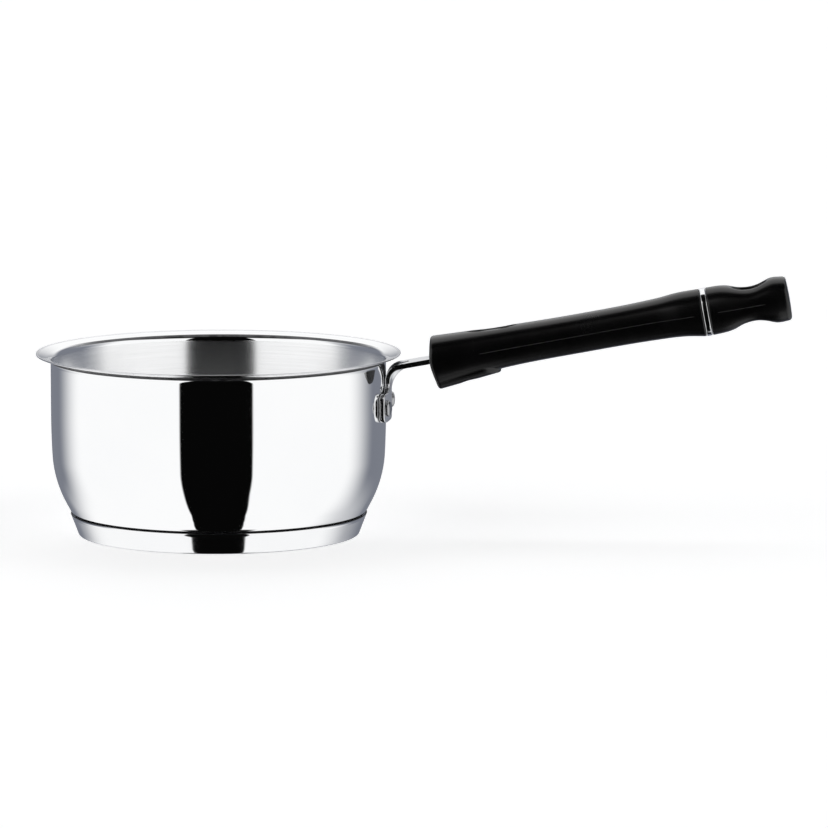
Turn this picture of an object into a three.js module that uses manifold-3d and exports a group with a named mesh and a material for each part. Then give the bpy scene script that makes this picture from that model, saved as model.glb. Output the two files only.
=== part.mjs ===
// Stainless saucepan with a capped base and a black two-part moulded handle.
// Millimetres, +Z up. The origin is the middle of the base on the table, and the handle points along +X.
import * as THREE from 'three';
import { mergeVertices } from 'three/addons/utils/BufferGeometryUtils.js';
import Module from 'manifold-3d';

const wasm = await Module();
wasm.setup();

const degree = Math.PI / 180;
const quarterTurn = 90 * degree;

// Pan
const panInnerDiameter = 160;
const panHeight = 88.2;
const panWall = 0.8;
const rimReach = 7.2;
const rimBendRadius = 5;
const rimSlope = 18 * degree;
const sideRadius = 400;
const sideLean = 3 * degree;
const bowlRadius = 55;
const bowlLean = 28 * degree;
const footLength = 4.1;
const cornerRadius = 11;

// Capped base
const coreThickness = 5.95;
const capSheet = 0.6;
const capHeight = 10.4;
const capLean = 21 * degree;
const capFootRadius = 1;
const seamClearance = 0.45;

// Bracket and its rivets
const strapWidth = 15;
const strapThickness = 2.5;
const strapBendRadius = 5.5;
const ribRadius = 12;
const ribWidth = 6;
const tangLength = 52;
const plateDrop = 24.9;
const plateHeight = 13.9;
const plateWidth = 42;
const plateCornerRadius = 4;
const neckFilletRadius = 6.4;
const rivetSpacing = 34;
const rivetShankDiameter = 5;
const rivetHeadDiameter = 7.8;
const rivetHeadHeight = 2.3;
const rivetTailHeight = 1.3;

// Handle, measured along its own axis from the front of the grip
const handleTilt = 10.4 * degree;
const handleStandoff = 21.2;
const handleDrop = 3.48;
const gripLength = 133.3;
const gripFrontUp = 11.3;
const gripFrontDown = 13.6;
const gripFrontWidth = 26.4;
const gripShoulder = 35;
const gripShoulderUp = 10;
const gripShoulderDown = 9.95;
const gripShoulderWidth = 22.6;
const gripWaist = 75;
const gripWaistUp = 9.4;
const gripWaistDown = 9.3;
const gripWaistWidth = 21.2;
const flareLength = 21.5;
const flareStartUp = 10.15;
const flareStartDown = 9.65;
const flareStartWidth = 21.8;
const flareTurn = 10.7;
const flareTurnDown = 10.3;
const frontEdgeDrop = 0.2;
const frontLowerSlope = 8 * degree;

// Squareness of the handle's sections, where 2 is an ellipse
const roundPower = 2;
const gripPower = 2.3;
const flarePower = 2.2;
const padPower = 3;
const endShoulderPower = 2.1;
const eyeWaistPower = 2.3;
const tailPower = 2.2;

// Features of the grip
const padLength = 33;
const padWidth = 18;
const padProud = 1.3;
const recessAt = 32.1;
const recessLength = 24;
const recessWidth = 9.5;
const recessDepth = 1.2;

// Screw that clamps the grip on the tang
const screwAt = 17;
const screwDiameter = 5;
const screwHeadDiameter = 9.2;
const screwHeadHeight = 3;
const screwSlotWidth = 1.2;
const screwSlotDepth = 1.3;
const screwRecess = 0.5;
const screwTipLength = 1.2;
const washerDiameter = 8.6;
const washerThickness = 1.3;
const washerSplit = 1;
const nutSide = 8;
const nutThickness = 3.5;

// Ring, hanging end and the stud that joins them to the grip
const ringDiameter = 23.2;
const ringWidth = 2.6;
const ringDrop = 0.45;
const jointGap = 0.2;
const spigotDiameter = 16;
const spigotDepth = 4.6;
const studDiameter = 5;
const insertDiameter = 9;
const gripInsertLength = 11;
const endInsertLength = 13;
const studEndSpace = 0.6;
const endLength = 39.2;
const endShoulder = 7.3;
const endShoulderUp = 10.9;
const endShoulderDown = 11.65;
const endShoulderWidth = 23.7;
const eyeFromTail = 18.1;
const eyeLength = 16.5;
const eyeWidth = 9;
const eyeWaistUp = 8.3;
const eyeWaistDown = 8.95;
const eyeWaistWidth = 24.8;
const tailSwell = 7;
const tailSwellUp = 10.45;
const tailSwellDown = 11.5;
const tailSwellWidth = 24;
const tailEdge = 1.9;
const tailEdgeUp = 9.95;
const tailEdgeDown = 11.4;
const tailEdgeWidth = 23.2;
const tailDome = 0.5;
const tailBevel = 0.7;

// Clearances
const fit = 0.3;
const seat = 0.05;

// Facets
const panSides = 60;
const smallSides = 20;
const sectionSides = 28;
const overshoot = 5;
const weld = 1e-4;

// Values that follow from the sizes
const wallRadius = panInnerDiameter / 2 + panWall;
const panFloor = capSheet + coreThickness;
const plateInnerRadius = wallRadius + fit;
const plateOuterRadius = plateInnerRadius + strapThickness;
const plateHeightUp = panHeight - plateDrop;
const rivetTurn = Math.asin(rivetSpacing / 2 / plateOuterRadius);
const handleX = wallRadius + handleStandoff;
const handleZ = panHeight - handleDrop;
const ringRadius = ringDiameter / 2;
const ringStart = gripLength + jointGap;
const endStart = ringStart + ringWidth + jointGap;
const handleLength = endStart + endLength;
const eyeAt = handleLength - eyeFromTail;
const socketStart = gripLength - spigotDepth - fit;
const spigotStart = gripLength - spigotDepth;
const gripInsertStart = socketStart - seat - gripInsertLength;
const endInsertStart = spigotStart + fit;
const endInsertFinish = endInsertStart + endInsertLength;
const padTilt = Math.atan((gripFrontDown - gripShoulderDown) / gripShoulder);
const padFaceAtScrew = gripFrontDown + padProud - screwAt * Math.tan(padTilt);
const screwHeadFace = padFaceAtScrew - screwRecess;
const screwSeat = screwHeadFace - screwHeadHeight;
const washerTop = screwSeat - seat - washerThickness;
const boreFloor = washerTop - seat;
const slotHalf = strapThickness / 2 + fit;
const nutTop = slotHalf + nutThickness;
const screwTip = nutTop + screwTipLength;

// Solids and geometry
function toSolid(geometry) {
  const bare = geometry.clone();
  bare.deleteAttribute('normal');
  bare.deleteAttribute('uv');
  const merged = mergeVertices(bare, weld);
  const corners = merged.index.array;
  const triangles = [];
  for (let i = 0; i < corners.length; i += 3) {
    const [a, b, c] = [corners[i], corners[i + 1], corners[i + 2]];
    if (a !== b && b !== c && c !== a) triangles.push(a, b, c);
  }
  const vertProperties = new Float32Array(merged.attributes.position.array);
  const triVerts = new Uint32Array(triangles);
  return new wasm.Manifold(new wasm.Mesh({ numProp: 3, vertProperties, triVerts }));
}

function toGeometry(solid) {
  const { vertProperties, triVerts } = solid.getMesh();
  const geometry = new THREE.BufferGeometry();
  geometry.setAttribute('position', new THREE.BufferAttribute(new Float32Array(vertProperties), 3));
  geometry.setIndex(new THREE.BufferAttribute(new Uint32Array(triVerts), 1));
  geometry.computeVertexNormals();
  return geometry;
}

function cut(body, cutters) {
  let solid = toSolid(body);
  for (const cutter of cutters) solid = solid.subtract(toSolid(cutter));
  return toGeometry(solid);
}

function join(...pieces) {
  return toGeometry(pieces.map(toSolid).reduce((whole, piece) => whole.add(piece)));
}

function common(first, second) {
  return toGeometry(toSolid(first).intersect(toSolid(second)));
}

// A profile of (radius, height) turned about +Z
function turned(profile, sides) {
  return new THREE.LatheGeometry(profile, sides).rotateX(quarterTurn);
}

function point(radius, height) {
  return new THREE.Vector2(radius, height);
}

// A round bar along +Z from one height to another
function bar(radius, from, to, sides = smallSides) {
  return turned([point(0, from), point(radius, from), point(radius, to), point(0, to)], sides);
}

function tube(inner, outer, from, to, sides = smallSides) {
  const start = point(inner, from);
  return turned([start, point(outer, from), point(outer, to), point(inner, to), start.clone()], sides);
}

// Turns a shape made along +Z to lie along the handle's axis, at the ring's height
function alongHandle(geometry) {
  return geometry.rotateY(quarterTurn).translate(0, 0, -ringDrop);
}

function block(sizeX, sizeY, sizeZ, x, y, z) {
  return new THREE.BoxGeometry(sizeX, sizeY, sizeZ).translate(x, y, z);
}

function extruded(shape, depth, curveSegments = 6) {
  return new THREE.ExtrudeGeometry(shape, { depth, bevelEnabled: false, curveSegments });
}

// Points of an arc on a surface that leans in from upright by the angle given
function leanArc(centre, radius, fromLean, toLean, steps) {
  const points = [];
  for (let i = 0; i <= steps; i++) {
    const lean = fromLean + (toLean - fromLean) * i / steps;
    points.push(point(centre.x + radius * Math.cos(lean), centre.y - radius * Math.sin(lean)));
  }
  return points;
}

// Centres of the pan's arcs, worked out from the upright wall inwards and from the floor upwards
const flatRadius = wallRadius
  - sideRadius * (1 - Math.cos(sideLean))
  - bowlRadius * (Math.cos(sideLean) - Math.cos(bowlLean))
  - footLength * Math.sin(bowlLean)
  - cornerRadius * Math.cos(bowlLean);
const cornerCentre = point(flatRadius, panFloor + cornerRadius);
const footFoot = leanArc(cornerCentre, cornerRadius, bowlLean, bowlLean, 1)[0];
const footHead = point(
  footFoot.x + footLength * Math.sin(bowlLean),
  footFoot.y + footLength * Math.cos(bowlLean),
);
const bowlCentre = point(
  footHead.x - bowlRadius * Math.cos(bowlLean),
  footHead.y + bowlRadius * Math.sin(bowlLean),
);
const bowlHead = leanArc(bowlCentre, bowlRadius, sideLean, sideLean, 1)[0];
const sideCentre = point(
  bowlHead.x - sideRadius * Math.cos(sideLean),
  bowlHead.y + sideRadius * Math.sin(sideLean),
);
const rimBend = quarterTurn - rimSlope;
const rimFlat = rimReach - rimBendRadius * (1 - Math.cos(rimBend));
const rimEdgeHeight = panHeight - panWall * Math.cos(rimSlope);
const rimBendHeight = rimEdgeHeight - rimFlat * Math.tan(rimSlope) - rimBendRadius * Math.sin(rimBend);

// One face of the pan, from the axis out to the rim's edge, set in from the outer face
function panFace(inset) {
  const points = [
    point(0, panFloor + inset),
    ...leanArc(cornerCentre, cornerRadius - inset, quarterTurn, bowlLean, 4),
    ...leanArc(bowlCentre, bowlRadius - inset, bowlLean, sideLean, 4),
    ...leanArc(sideCentre, sideRadius - inset, sideLean, 0, 2).slice(1),
  ];
  const rimSteps = 4;
  for (let i = 0; i <= rimSteps; i++) {
    const turn = rimBend * i / rimSteps;
    const radius = rimBendRadius + inset;
    points.push(point(
      wallRadius + rimBendRadius - radius * Math.cos(turn),
      rimBendHeight + radius * Math.sin(turn),
    ));
  }
  points.push(point(
    wallRadius + rimReach - inset * Math.sin(rimSlope),
    rimEdgeHeight + inset * Math.cos(rimSlope),
  ));
  return points;
}

function radiusAt(face, height) {
  const above = face.findIndex((corner, i) => i > 0 && corner.y >= height && corner.y > face[i - 1].y);
  const [low, high] = [face[above - 1], face[above]];
  return low.x + (high.x - low.x) * (height - low.y) / (high.y - low.y);
}

function rivetHoles() {
  const holeRadius = rivetShankDiameter / 2 + fit;
  return [-rivetTurn, rivetTurn].map((turn) => {
    const hole = bar(holeRadius, wallRadius - rimReach, plateOuterRadius + overshoot);
    return hole.rotateY(quarterTurn).rotateZ(turn).translate(0, 0, plateHeightUp);
  });
}

function panShell() {
  const profile = [...panFace(0), ...panFace(panWall).reverse()];
  return cut(turned(profile, panSides), rivetHoles());
}

// Capped base
const capTop = radiusAt(panFace(0), capHeight) + seamClearance + capSheet / Math.cos(capLean);
const capFootHeight = capFootRadius * (1 - Math.sin(capLean));
const capFoot = capTop - (capHeight - capFootHeight) * Math.tan(capLean) - capFootRadius * Math.cos(capLean);

function capFace(inset) {
  return [
    point(0, inset),
    ...leanArc(point(capFoot, capFootRadius), capFootRadius - inset, quarterTurn, capLean, 2),
    point(capTop - inset / Math.cos(capLean), capHeight),
  ];
}

function baseCap() {
  return turned([...capFace(0), ...capFace(capSheet).reverse()], panSides);
}

function baseCore() {
  const coreTop = radiusAt(capFace(capSheet), panFloor) - fit;
  return turned(
    [point(0, capSheet), point(capFoot - fit, capSheet), point(coreTop, panFloor), point(0, panFloor)],
    panSides,
  );
}

// Bracket: a strap on the handle's axis, bent down into a T-shaped plate that wraps the wall,
// with a stiffening rib pressed into the inside of the bend
function bracketSide() {
  const half = strapThickness / 2;
  const [cos, sin] = [Math.cos(handleTilt), Math.sin(handleTilt)];
  const onAxis = (along, up) => [handleX + along * cos - up * sin, handleZ + along * sin + up * cos];
  const bendX = plateOuterRadius + strapBendRadius;
  const bendZ = handleZ + ((bendX - handleX) * sin - half - strapBendRadius) / cos;
  const neckFoot = plateHeightUp;
  const side = new THREE.Shape();
  side.moveTo(plateOuterRadius, neckFoot);
  side.lineTo(plateOuterRadius, bendZ);
  side.absarc(bendX, bendZ, strapBendRadius, Math.PI, quarterTurn + handleTilt, true);
  side.lineTo(...onAxis(tangLength, -half));
  side.lineTo(...onAxis(tangLength, half));
  side.absarc(bendX, bendZ, strapBendRadius + strapThickness, quarterTurn + handleTilt, Math.PI, false);
  side.lineTo(plateInnerRadius, neckFoot);
  side.closePath();
  const upright = new THREE.Matrix4().makeBasis(
    new THREE.Vector3(1, 0, 0),
    new THREE.Vector3(0, 0, 1),
    new THREE.Vector3(0, -1, 0),
  );
  const ribX = plateOuterRadius + ribRadius;
  const ribZ = handleZ + ((ribX - handleX) * sin - half - ribRadius) / cos;
  const rib = new THREE.Shape();
  rib.moveTo(plateOuterRadius - half, ribZ);
  rib.lineTo(plateOuterRadius, ribZ);
  rib.absarc(ribX, ribZ, ribRadius, Math.PI, quarterTurn + handleTilt, true);
  rib.absarc(bendX, bendZ, strapBendRadius + half, quarterTurn + handleTilt, Math.PI, false);
  rib.closePath();
  const standing = (shape, width) => extruded(shape, width).translate(0, 0, -width / 2).applyMatrix4(upright);
  return {
    strap: join(standing(side, strapWidth), standing(rib, ribWidth)),
    neckHead: bendZ,
  };
}

function plateOutline(neckHead) {
  const [halfWidth, halfNeck] = [plateWidth / 2, strapWidth / 2];
  const bottom = plateHeightUp - plateHeight / 2;
  const top = bottom + plateHeight;
  const corner = plateCornerRadius;
  const fillet = neckFilletRadius;
  const outline = new THREE.Shape();
  outline.absarc(halfWidth - corner, bottom + corner, corner, -quarterTurn, 0, false);
  outline.absarc(halfWidth - corner, top - corner, corner, 0, quarterTurn, false);
  outline.absarc(halfNeck + fillet, top + fillet, fillet, -quarterTurn, -2 * quarterTurn, true);
  outline.lineTo(halfNeck, Math.max(neckHead, top + fillet));
  outline.lineTo(-halfNeck, Math.max(neckHead, top + fillet));
  outline.absarc(-halfNeck - fillet, top + fillet, fillet, 0, -quarterTurn, true);
  outline.absarc(-halfWidth + corner, top - corner, corner, quarterTurn, 2 * quarterTurn, false);
  outline.absarc(-halfWidth + corner, bottom + corner, corner, 2 * quarterTurn, 3 * quarterTurn, false);
  outline.closePath();
  return outline;
}

function handleBracket() {
  const { strap, neckHead } = bracketSide();
  const facing = new THREE.Matrix4().makeBasis(
    new THREE.Vector3(0, 1, 0),
    new THREE.Vector3(0, 0, 1),
    new THREE.Vector3(1, 0, 0),
  );
  const outline = extruded(plateOutline(neckHead), wallRadius).applyMatrix4(facing);
  outline.translate(wallRadius / 2, 0, 0);
  const wrap = tube(plateInnerRadius, plateOuterRadius, 0, panHeight, panSides);
  const tangHole = bar(screwDiameter / 2 + fit, -overshoot, overshoot).translate(screwAt, 0, 0);
  tangHole.rotateY(-handleTilt).translate(handleX, 0, handleZ);
  return cut(join(common(wrap, outline), strap), [...rivetHoles(), tangHole]);
}

function rivet() {
  const shank = rivetShankDiameter / 2;
  const head = rivetHeadDiameter / 2;
  const inner = Math.sqrt((wallRadius - panWall) ** 2 - head ** 2) * Math.cos(Math.PI / panSides) - seat;
  const outer = plateOuterRadius + seat;
  const crown = (height) => [
    point(head, 0),
    point(head, height * 0.4),
    point(head * 0.9, height * 0.75),
    point(head * 0.65, height * 0.95),
    point(0, height),
  ];
  const tail = crown(rivetTailHeight).reverse().map(({ x, y }) => point(x, inner - y));
  const cap = crown(rivetHeadHeight).map(({ x, y }) => point(x, outer + y));
  return turned([...tail, point(shank, inner), point(shank, outer), ...cap], smallSides).rotateY(quarterTurn);
}

// Handle sections: a rounded outline with its own rise, fall, half width and height of widest point
function section(along, [up, down, width, middle, power]) {
  const points = [];
  for (let i = 0; i < sectionSides; i++) {
    const turn = 2 * Math.PI * i / sectionSides;
    const [across, rise] = [Math.cos(turn), Math.sin(turn)];
    const reach = rise >= 0 ? up - middle : down + middle;
    const y = width / 2 * Math.sign(across) * Math.abs(across) ** (2 / power);
    const z = middle + reach * Math.sign(rise) * Math.abs(rise) ** (2 / power);
    points.push(new THREE.Vector3(along, y, z));
  }
  return points;
}

// A closed skin through rings of points, with a fan at each end
function loft(rings, firstMiddle, lastMiddle) {
  const sides = rings[0].length;
  const points = [...rings.flat(), firstMiddle, lastMiddle];
  const [first, last] = [points.length - 2, points.length - 1];
  const lastRing = (rings.length - 1) * sides;
  const triangles = [];
  for (let side = 0; side < sides; side++) {
    const next = (side + 1) % sides;
    for (let ring = 0; ring < rings.length - 1; ring++) {
      const [a, b] = [ring * sides + side, ring * sides + next];
      const [c, d] = [a + sides, b + sides];
      triangles.push(a, b, c, b, d, c);
    }
    triangles.push(first, next, side, last, lastRing + side, lastRing + next);
  }
  const geometry = new THREE.BufferGeometry().setFromPoints(points);
  geometry.setIndex(triangles);
  return geometry;
}

// Rings through stations of [along, up, down, width, middle, power], eased by a cubic curve
function rings(stations, steps) {
  const along = stations.map(([at]) => at);
  const values = stations.flatMap(([, ...shape]) => shape);
  const curve = new THREE.CubicInterpolant(along, values, stations[0].length - 1);
  const [from, to] = [along[0], along[along.length - 1]];
  const places = Array.from({ length: steps + 1 }, (_, i) => from + (to - from) * i / steps);
  return places.map((at) => section(at, Array.from(curve.evaluate(at))));
}

const ringStation = [ringRadius - ringDrop, ringRadius + ringDrop, ringDiameter, -ringDrop, roundPower];

function gripBody() {
  const flareStart = gripLength - flareLength;
  const stations = [
    [0, gripFrontUp, gripFrontDown, gripFrontWidth, 0, gripPower],
    [gripShoulder, gripShoulderUp, gripShoulderDown, gripShoulderWidth, 0, gripPower],
    [gripWaist, gripWaistUp, gripWaistDown, gripWaistWidth, 0, gripPower],
    [flareStart, flareStartUp, flareStartDown, flareStartWidth, 0, flarePower],
    [gripLength - flareTurn, ringRadius - ringDrop, flareTurnDown, ringDiameter, -ringDrop / 2, roundPower],
    [gripLength, ...ringStation],
  ];
  const skin = rings(stations, 24);
  return loft(skin, new THREE.Vector3(0, 0, 0), new THREE.Vector3(gripLength, 0, -ringDrop));
}

// A keel with rounded edges under the front of the grip, ending in a round step
function gripPad() {
  const half = padWidth / 2;
  const plan = new THREE.Shape();
  plan.moveTo(-overshoot, -half);
  plan.absarc(padLength - half, 0, half, -quarterTurn, quarterTurn, false);
  plan.lineTo(-overshoot, half);
  plan.closePath();
  const deepest = 2 * (gripFrontDown + padProud);
  const column = extruded(plan, deepest, 12).translate(0, 0, -deepest - slotHalf - fit);
  const keel = [0, gripShoulder].map((at) => {
    const down = gripFrontDown + padProud - at * Math.tan(padTilt);
    return section(at, [slotHalf, down, padWidth + 2 * padProud, 0, padPower]);
  });
  return common(column, loft(keel, new THREE.Vector3(0, 0, 0), new THREE.Vector3(gripShoulder, 0, 0)));
}

// The two sloping faces at the front of the grip, which meet in an edge below the strap
function frontCutters() {
  const size = gripFrontWidth + gripFrontDown + gripFrontUp;
  const above = block(size, size, size, -size / 2, 0, size / 2).rotateY(handleTilt);
  const below = block(size, size, size, -size / 2, 0, -size / 2).rotateY(-frontLowerSlope);
  const spare = block(size, size, 2 * size, -size / 2, 0, 0);
  return [above, below, spare].map((cutter) => cutter.translate(0, 0, -frontEdgeDrop));
}

function topRecess() {
  const plan = new THREE.Shape();
  plan.absellipse(0, 0, recessLength / 2, recessWidth / 2, 0, 4 * quarterTurn, false, 0);
  const slope = Math.atan((gripFrontUp - gripShoulderUp) / gripShoulder);
  const top = gripFrontUp - recessAt * Math.tan(slope);
  const pocket = extruded(plan, overshoot, 16).rotateY(slope);
  return pocket.translate(recessAt, 0, top - recessDepth);
}

function grip() {
  const spin = (radius, from, to) => alongHandle(bar(radius, from, to));
  const upright = (radius, from, to) => bar(radius, from, to).translate(screwAt, 0, 0);
  const tangSpace = tangLength + 2 * fit;
  const pocketSide = nutSide + 2 * fit;
  const pocketTop = screwTip + fit;
  return cut(join(gripBody(), gripPad()), [
    ...frontCutters(),
    topRecess(),
    block(tangSpace + overshoot, strapWidth + 2 * fit, 2 * slotHalf, (tangSpace - overshoot) / 2, 0, 0),
    block(pocketSide, pocketSide, pocketTop, screwAt, 0, pocketTop / 2),
    upright(screwDiameter / 2 + fit, -boreFloor - fit, 0),
    upright(screwHeadDiameter / 2 + fit, -padFaceAtScrew - overshoot, -boreFloor),
    spin(spigotDiameter / 2 + fit, socketStart, gripLength + overshoot),
    spin(insertDiameter / 2 + fit, gripInsertStart - fit, gripLength),
  ]);
}

function fixingScrew() {
  const [shank, head] = [screwDiameter / 2, screwHeadDiameter / 2];
  const edge = screwHeadHeight / 3;
  const profile = [
    point(0, -screwHeadFace),
    point(head - edge, -screwHeadFace),
    point(head, -screwHeadFace + edge),
    point(head, -screwSeat),
    point(shank, -screwSeat),
    point(shank, screwTip),
    point(0, screwTip),
  ];
  const slotLength = screwHeadDiameter + overshoot;
  const slot = block(slotLength, screwSlotWidth, 2 * screwSlotDepth, 0, 0, -screwHeadFace);
  return cut(turned(profile, smallSides), [slot]).translate(screwAt, 0, 0);
}

function springWasher() {
  const ring = tube(screwDiameter / 2 + fit, washerDiameter / 2, -washerTop - washerThickness, -washerTop);
  const split = block(washerDiameter, washerSplit, 4 * washerThickness, washerDiameter / 2, 0, -washerTop);
  return cut(ring, [split]).translate(screwAt, 0, 0);
}

function clampNut() {
  const middle = slotHalf + nutThickness / 2;
  const body = block(nutSide, nutSide, nutThickness, 0, 0, middle);
  const hole = bar(screwDiameter / 2 + fit, 0, screwTip);
  return cut(body, [hole]).translate(screwAt, 0, 0);
}

function ferruleRing() {
  const ring = tube(spigotDiameter / 2 + fit, ringRadius, ringStart, ringStart + ringWidth, sectionSides);
  return alongHandle(ring);
}

function endBody() {
  const middle = -ringDrop;
  const tail = handleLength - tailDome;
  const stations = [
    [endStart, ...ringStation],
    [endStart + endShoulder, endShoulderUp, endShoulderDown, endShoulderWidth, middle, endShoulderPower],
    [eyeAt, eyeWaistUp, eyeWaistDown, eyeWaistWidth, middle, eyeWaistPower],
    [handleLength - tailSwell, tailSwellUp, tailSwellDown, tailSwellWidth, middle, tailPower],
    [handleLength - tailEdge, tailEdgeUp, tailEdgeDown, tailEdgeWidth, middle, tailPower],
  ];
  const edge = section(
    tail,
    [tailEdgeUp - tailBevel, tailEdgeDown - tailBevel, tailEdgeWidth - 2 * tailBevel, middle, tailPower],
  );
  const skin = [...rings(stations, 18), edge];
  return loft(skin, new THREE.Vector3(endStart, 0, middle), new THREE.Vector3(handleLength, 0, middle));
}

function hangingEye() {
  const half = eyeWidth / 2;
  const straight = eyeLength / 2 - half;
  const plan = new THREE.Shape();
  plan.absarc(straight, 0, half, -quarterTurn, quarterTurn, false);
  plan.absarc(-straight, 0, half, quarterTurn, 3 * quarterTurn, false);
  plan.closePath();
  const depth = 2 * (endShoulderUp + endShoulderDown);
  return extruded(plan, depth, 8).translate(eyeAt, 0, -depth / 2);
}

function endPiece() {
  const spigot = alongHandle(bar(spigotDiameter / 2, spigotStart, endStart + overshoot));
  const insertBore = alongHandle(
    bar(insertDiameter / 2 + fit, spigotStart - overshoot, endInsertFinish + fit),
  );
  return cut(join(endBody(), spigot), [hangingEye(), insertBore]);
}

function threadedInsert(from, length) {
  return alongHandle(tube(studDiameter / 2 + fit, insertDiameter / 2, from, from + length));
}

function joiningStud() {
  const from = gripInsertStart + studEndSpace;
  return alongHandle(bar(studDiameter / 2, from, endInsertFinish - studEndSpace));
}

// Materials
const polishedSteel = { color: 0xd9dbde, roughness: 0.08, metalness: 1 };
const capSteel = { color: 0xcfd2d6, roughness: 0.14, metalness: 1 };
const aluminium = { color: 0xb9bbbd, roughness: 0.45, metalness: 1 };
const bracketSteel = { color: 0xd2d4d8, roughness: 0.12, metalness: 1 };
const rivetSteel = { color: 0xc4c6ca, roughness: 0.2, metalness: 1 };
const blackPhenolic = { color: 0x0b0b0d, roughness: 0.38, metalness: 0 };
const zincSteel = { color: 0x9a9da0, roughness: 0.35, metalness: 1 };
const ringSteel = { color: 0xd8dade, roughness: 0.1, metalness: 1 };
const brass = { color: 0xb8975a, roughness: 0.35, metalness: 1 };

function piece(name, geometry, look) {
  const mesh = new THREE.Mesh(geometry, new THREE.MeshStandardMaterial(look));
  mesh.name = name;
  return mesh;
}

const saucepan = new THREE.Group();
saucepan.add(
  piece('pan_shell', panShell(), polishedSteel),
  piece('base_core', baseCore(), aluminium),
  piece('base_cap', baseCap(), capSteel),
  piece('handle_bracket', handleBracket(), bracketSteel),
);

for (const [name, turn] of [['rivet_near', -rivetTurn], ['rivet_far', rivetTurn]]) {
  const mesh = piece(name, rivet(), rivetSteel);
  mesh.rotation.z = turn;
  mesh.position.z = plateHeightUp;
  saucepan.add(mesh);
}

const handle = new THREE.Group();
handle.position.set(handleX, 0, handleZ);
handle.rotation.y = -handleTilt;
handle.add(
  piece('grip', grip(), blackPhenolic),
  piece('fixing_screw', fixingScrew(), zincSteel),
  piece('spring_washer', springWasher(), zincSteel),
  piece('clamp_nut', clampNut(), zincSteel),
  piece('ferrule_ring', ferruleRing(), ringSteel),
  piece('end_piece', endPiece(), blackPhenolic),
  piece('joining_stud', joiningStud(), zincSteel),
  piece('grip_insert', threadedInsert(gripInsertStart, gripInsertLength), brass),
  piece('end_insert', threadedInsert(endInsertStart, endInsertLength), brass),
);
saucepan.add(handle);

export default saucepan;
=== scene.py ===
import math
import bmesh
import bpy
import numpy as np
from mathutils import Matrix, Vector
from mathutils.geometry import delaunay_2d_cdt


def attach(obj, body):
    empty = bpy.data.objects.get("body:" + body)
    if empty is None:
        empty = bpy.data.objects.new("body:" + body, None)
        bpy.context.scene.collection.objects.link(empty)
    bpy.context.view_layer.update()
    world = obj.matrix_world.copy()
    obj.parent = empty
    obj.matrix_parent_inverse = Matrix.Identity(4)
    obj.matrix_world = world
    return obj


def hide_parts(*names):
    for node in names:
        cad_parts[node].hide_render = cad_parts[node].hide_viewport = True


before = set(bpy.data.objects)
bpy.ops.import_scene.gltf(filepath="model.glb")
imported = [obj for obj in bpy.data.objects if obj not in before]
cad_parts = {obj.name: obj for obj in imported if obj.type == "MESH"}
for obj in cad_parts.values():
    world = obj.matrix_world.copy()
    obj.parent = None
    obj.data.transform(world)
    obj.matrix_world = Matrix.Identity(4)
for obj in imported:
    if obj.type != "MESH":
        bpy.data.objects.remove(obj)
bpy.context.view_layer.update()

scene = bpy.context.scene
scene.view_settings.view_transform = "Standard"
mm = 0.001


# Node trees: a wire is one socket, and sums on wires become Math nodes
class Wire:
    def __init__(self, tree, socket):
        self.tree = tree
        self.socket = socket

    def math(self, operation, *values):
        return self.tree.add("ShaderNodeMath", values, operation=operation)[0]

    def __add__(self, other):
        return self.math("ADD", self, other)

    def __radd__(self, other):
        return self.math("ADD", other, self)

    def __sub__(self, other):
        return self.math("SUBTRACT", self, other)

    def __rsub__(self, other):
        return self.math("SUBTRACT", other, self)

    def __mul__(self, other):
        return self.math("MULTIPLY", self, other)

    def __rmul__(self, other):
        return self.math("MULTIPLY", other, self)

    def __truediv__(self, other):
        return self.math("DIVIDE", self, other)

    def __mod__(self, other):
        return self.math("MODULO", self, other)

    def call(self, operation):
        return self.math(operation, self)

    def most(self, other):
        return self.math("MAXIMUM", self, other)

    # A soft step from 0 to 1 between two values
    def step(self, low, high):
        values = {"Value": self, "From Min": low, "From Max": high}
        return self.tree.add("ShaderNodeMapRange", values, interpolation_type="SMOOTHSTEP")["Result"]

    def past(self, edge, softness):
        return self.step(edge - softness, edge + softness)


class Made:
    def __init__(self, tree, node):
        self.tree = tree
        self.node = node

    def __getitem__(self, name):
        return Wire(self.tree, self.node.outputs[name])


class Tree:
    def __init__(self, nodeTree):
        self.nodes = nodeTree.nodes
        self.links = nodeTree.links

    def add(self, kind, sockets=(), **settings):
        node = self.nodes.new(kind)
        for name, value in settings.items():
            setattr(node, name, value)
        pairs = sockets.items() if isinstance(sockets, dict) else enumerate(sockets)
        for key, value in pairs:
            if isinstance(value, Wire):
                self.links.new(value.socket, node.inputs[key])
            else:
                node.inputs[key].default_value = value
        return Made(self, node)

    def mixColour(self, share, first, second):
        return self.add("ShaderNodeMix", {0: share, 6: first, 7: second}, data_type="RGBA")[2]

    def vector(self, x, y, z):
        return self.add("ShaderNodeCombineXYZ", [x, y, z])[0]

    def parts(self, vector):
        split = self.add("ShaderNodeSeparateXYZ", [vector])
        return [split[i] for i in range(3)]

    def cells(self, place, scale):
        return self.add("ShaderNodeTexVoronoi", {"Vector": place, "Scale": scale})["Distance"]

    def noise(self, place, scale, detail=2.0, roughness=0.5):
        values = {"Vector": place, "Scale": scale, "Detail": detail, "Roughness": roughness}
        return self.add("ShaderNodeTexNoise", values)["Fac"]

    def bump(self, height, strength, distance):
        values = {"Height": height, "Strength": strength, "Distance": distance}
        return self.add("ShaderNodeBump", values)["Normal"]


def grey(value):
    return (value, value, value, 1.0)


# Materials and the world start from an empty tree
def emptyTree(owner):
    owner.use_nodes = True
    owner.node_tree.nodes.clear()
    return Tree(owner.node_tree)


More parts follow.
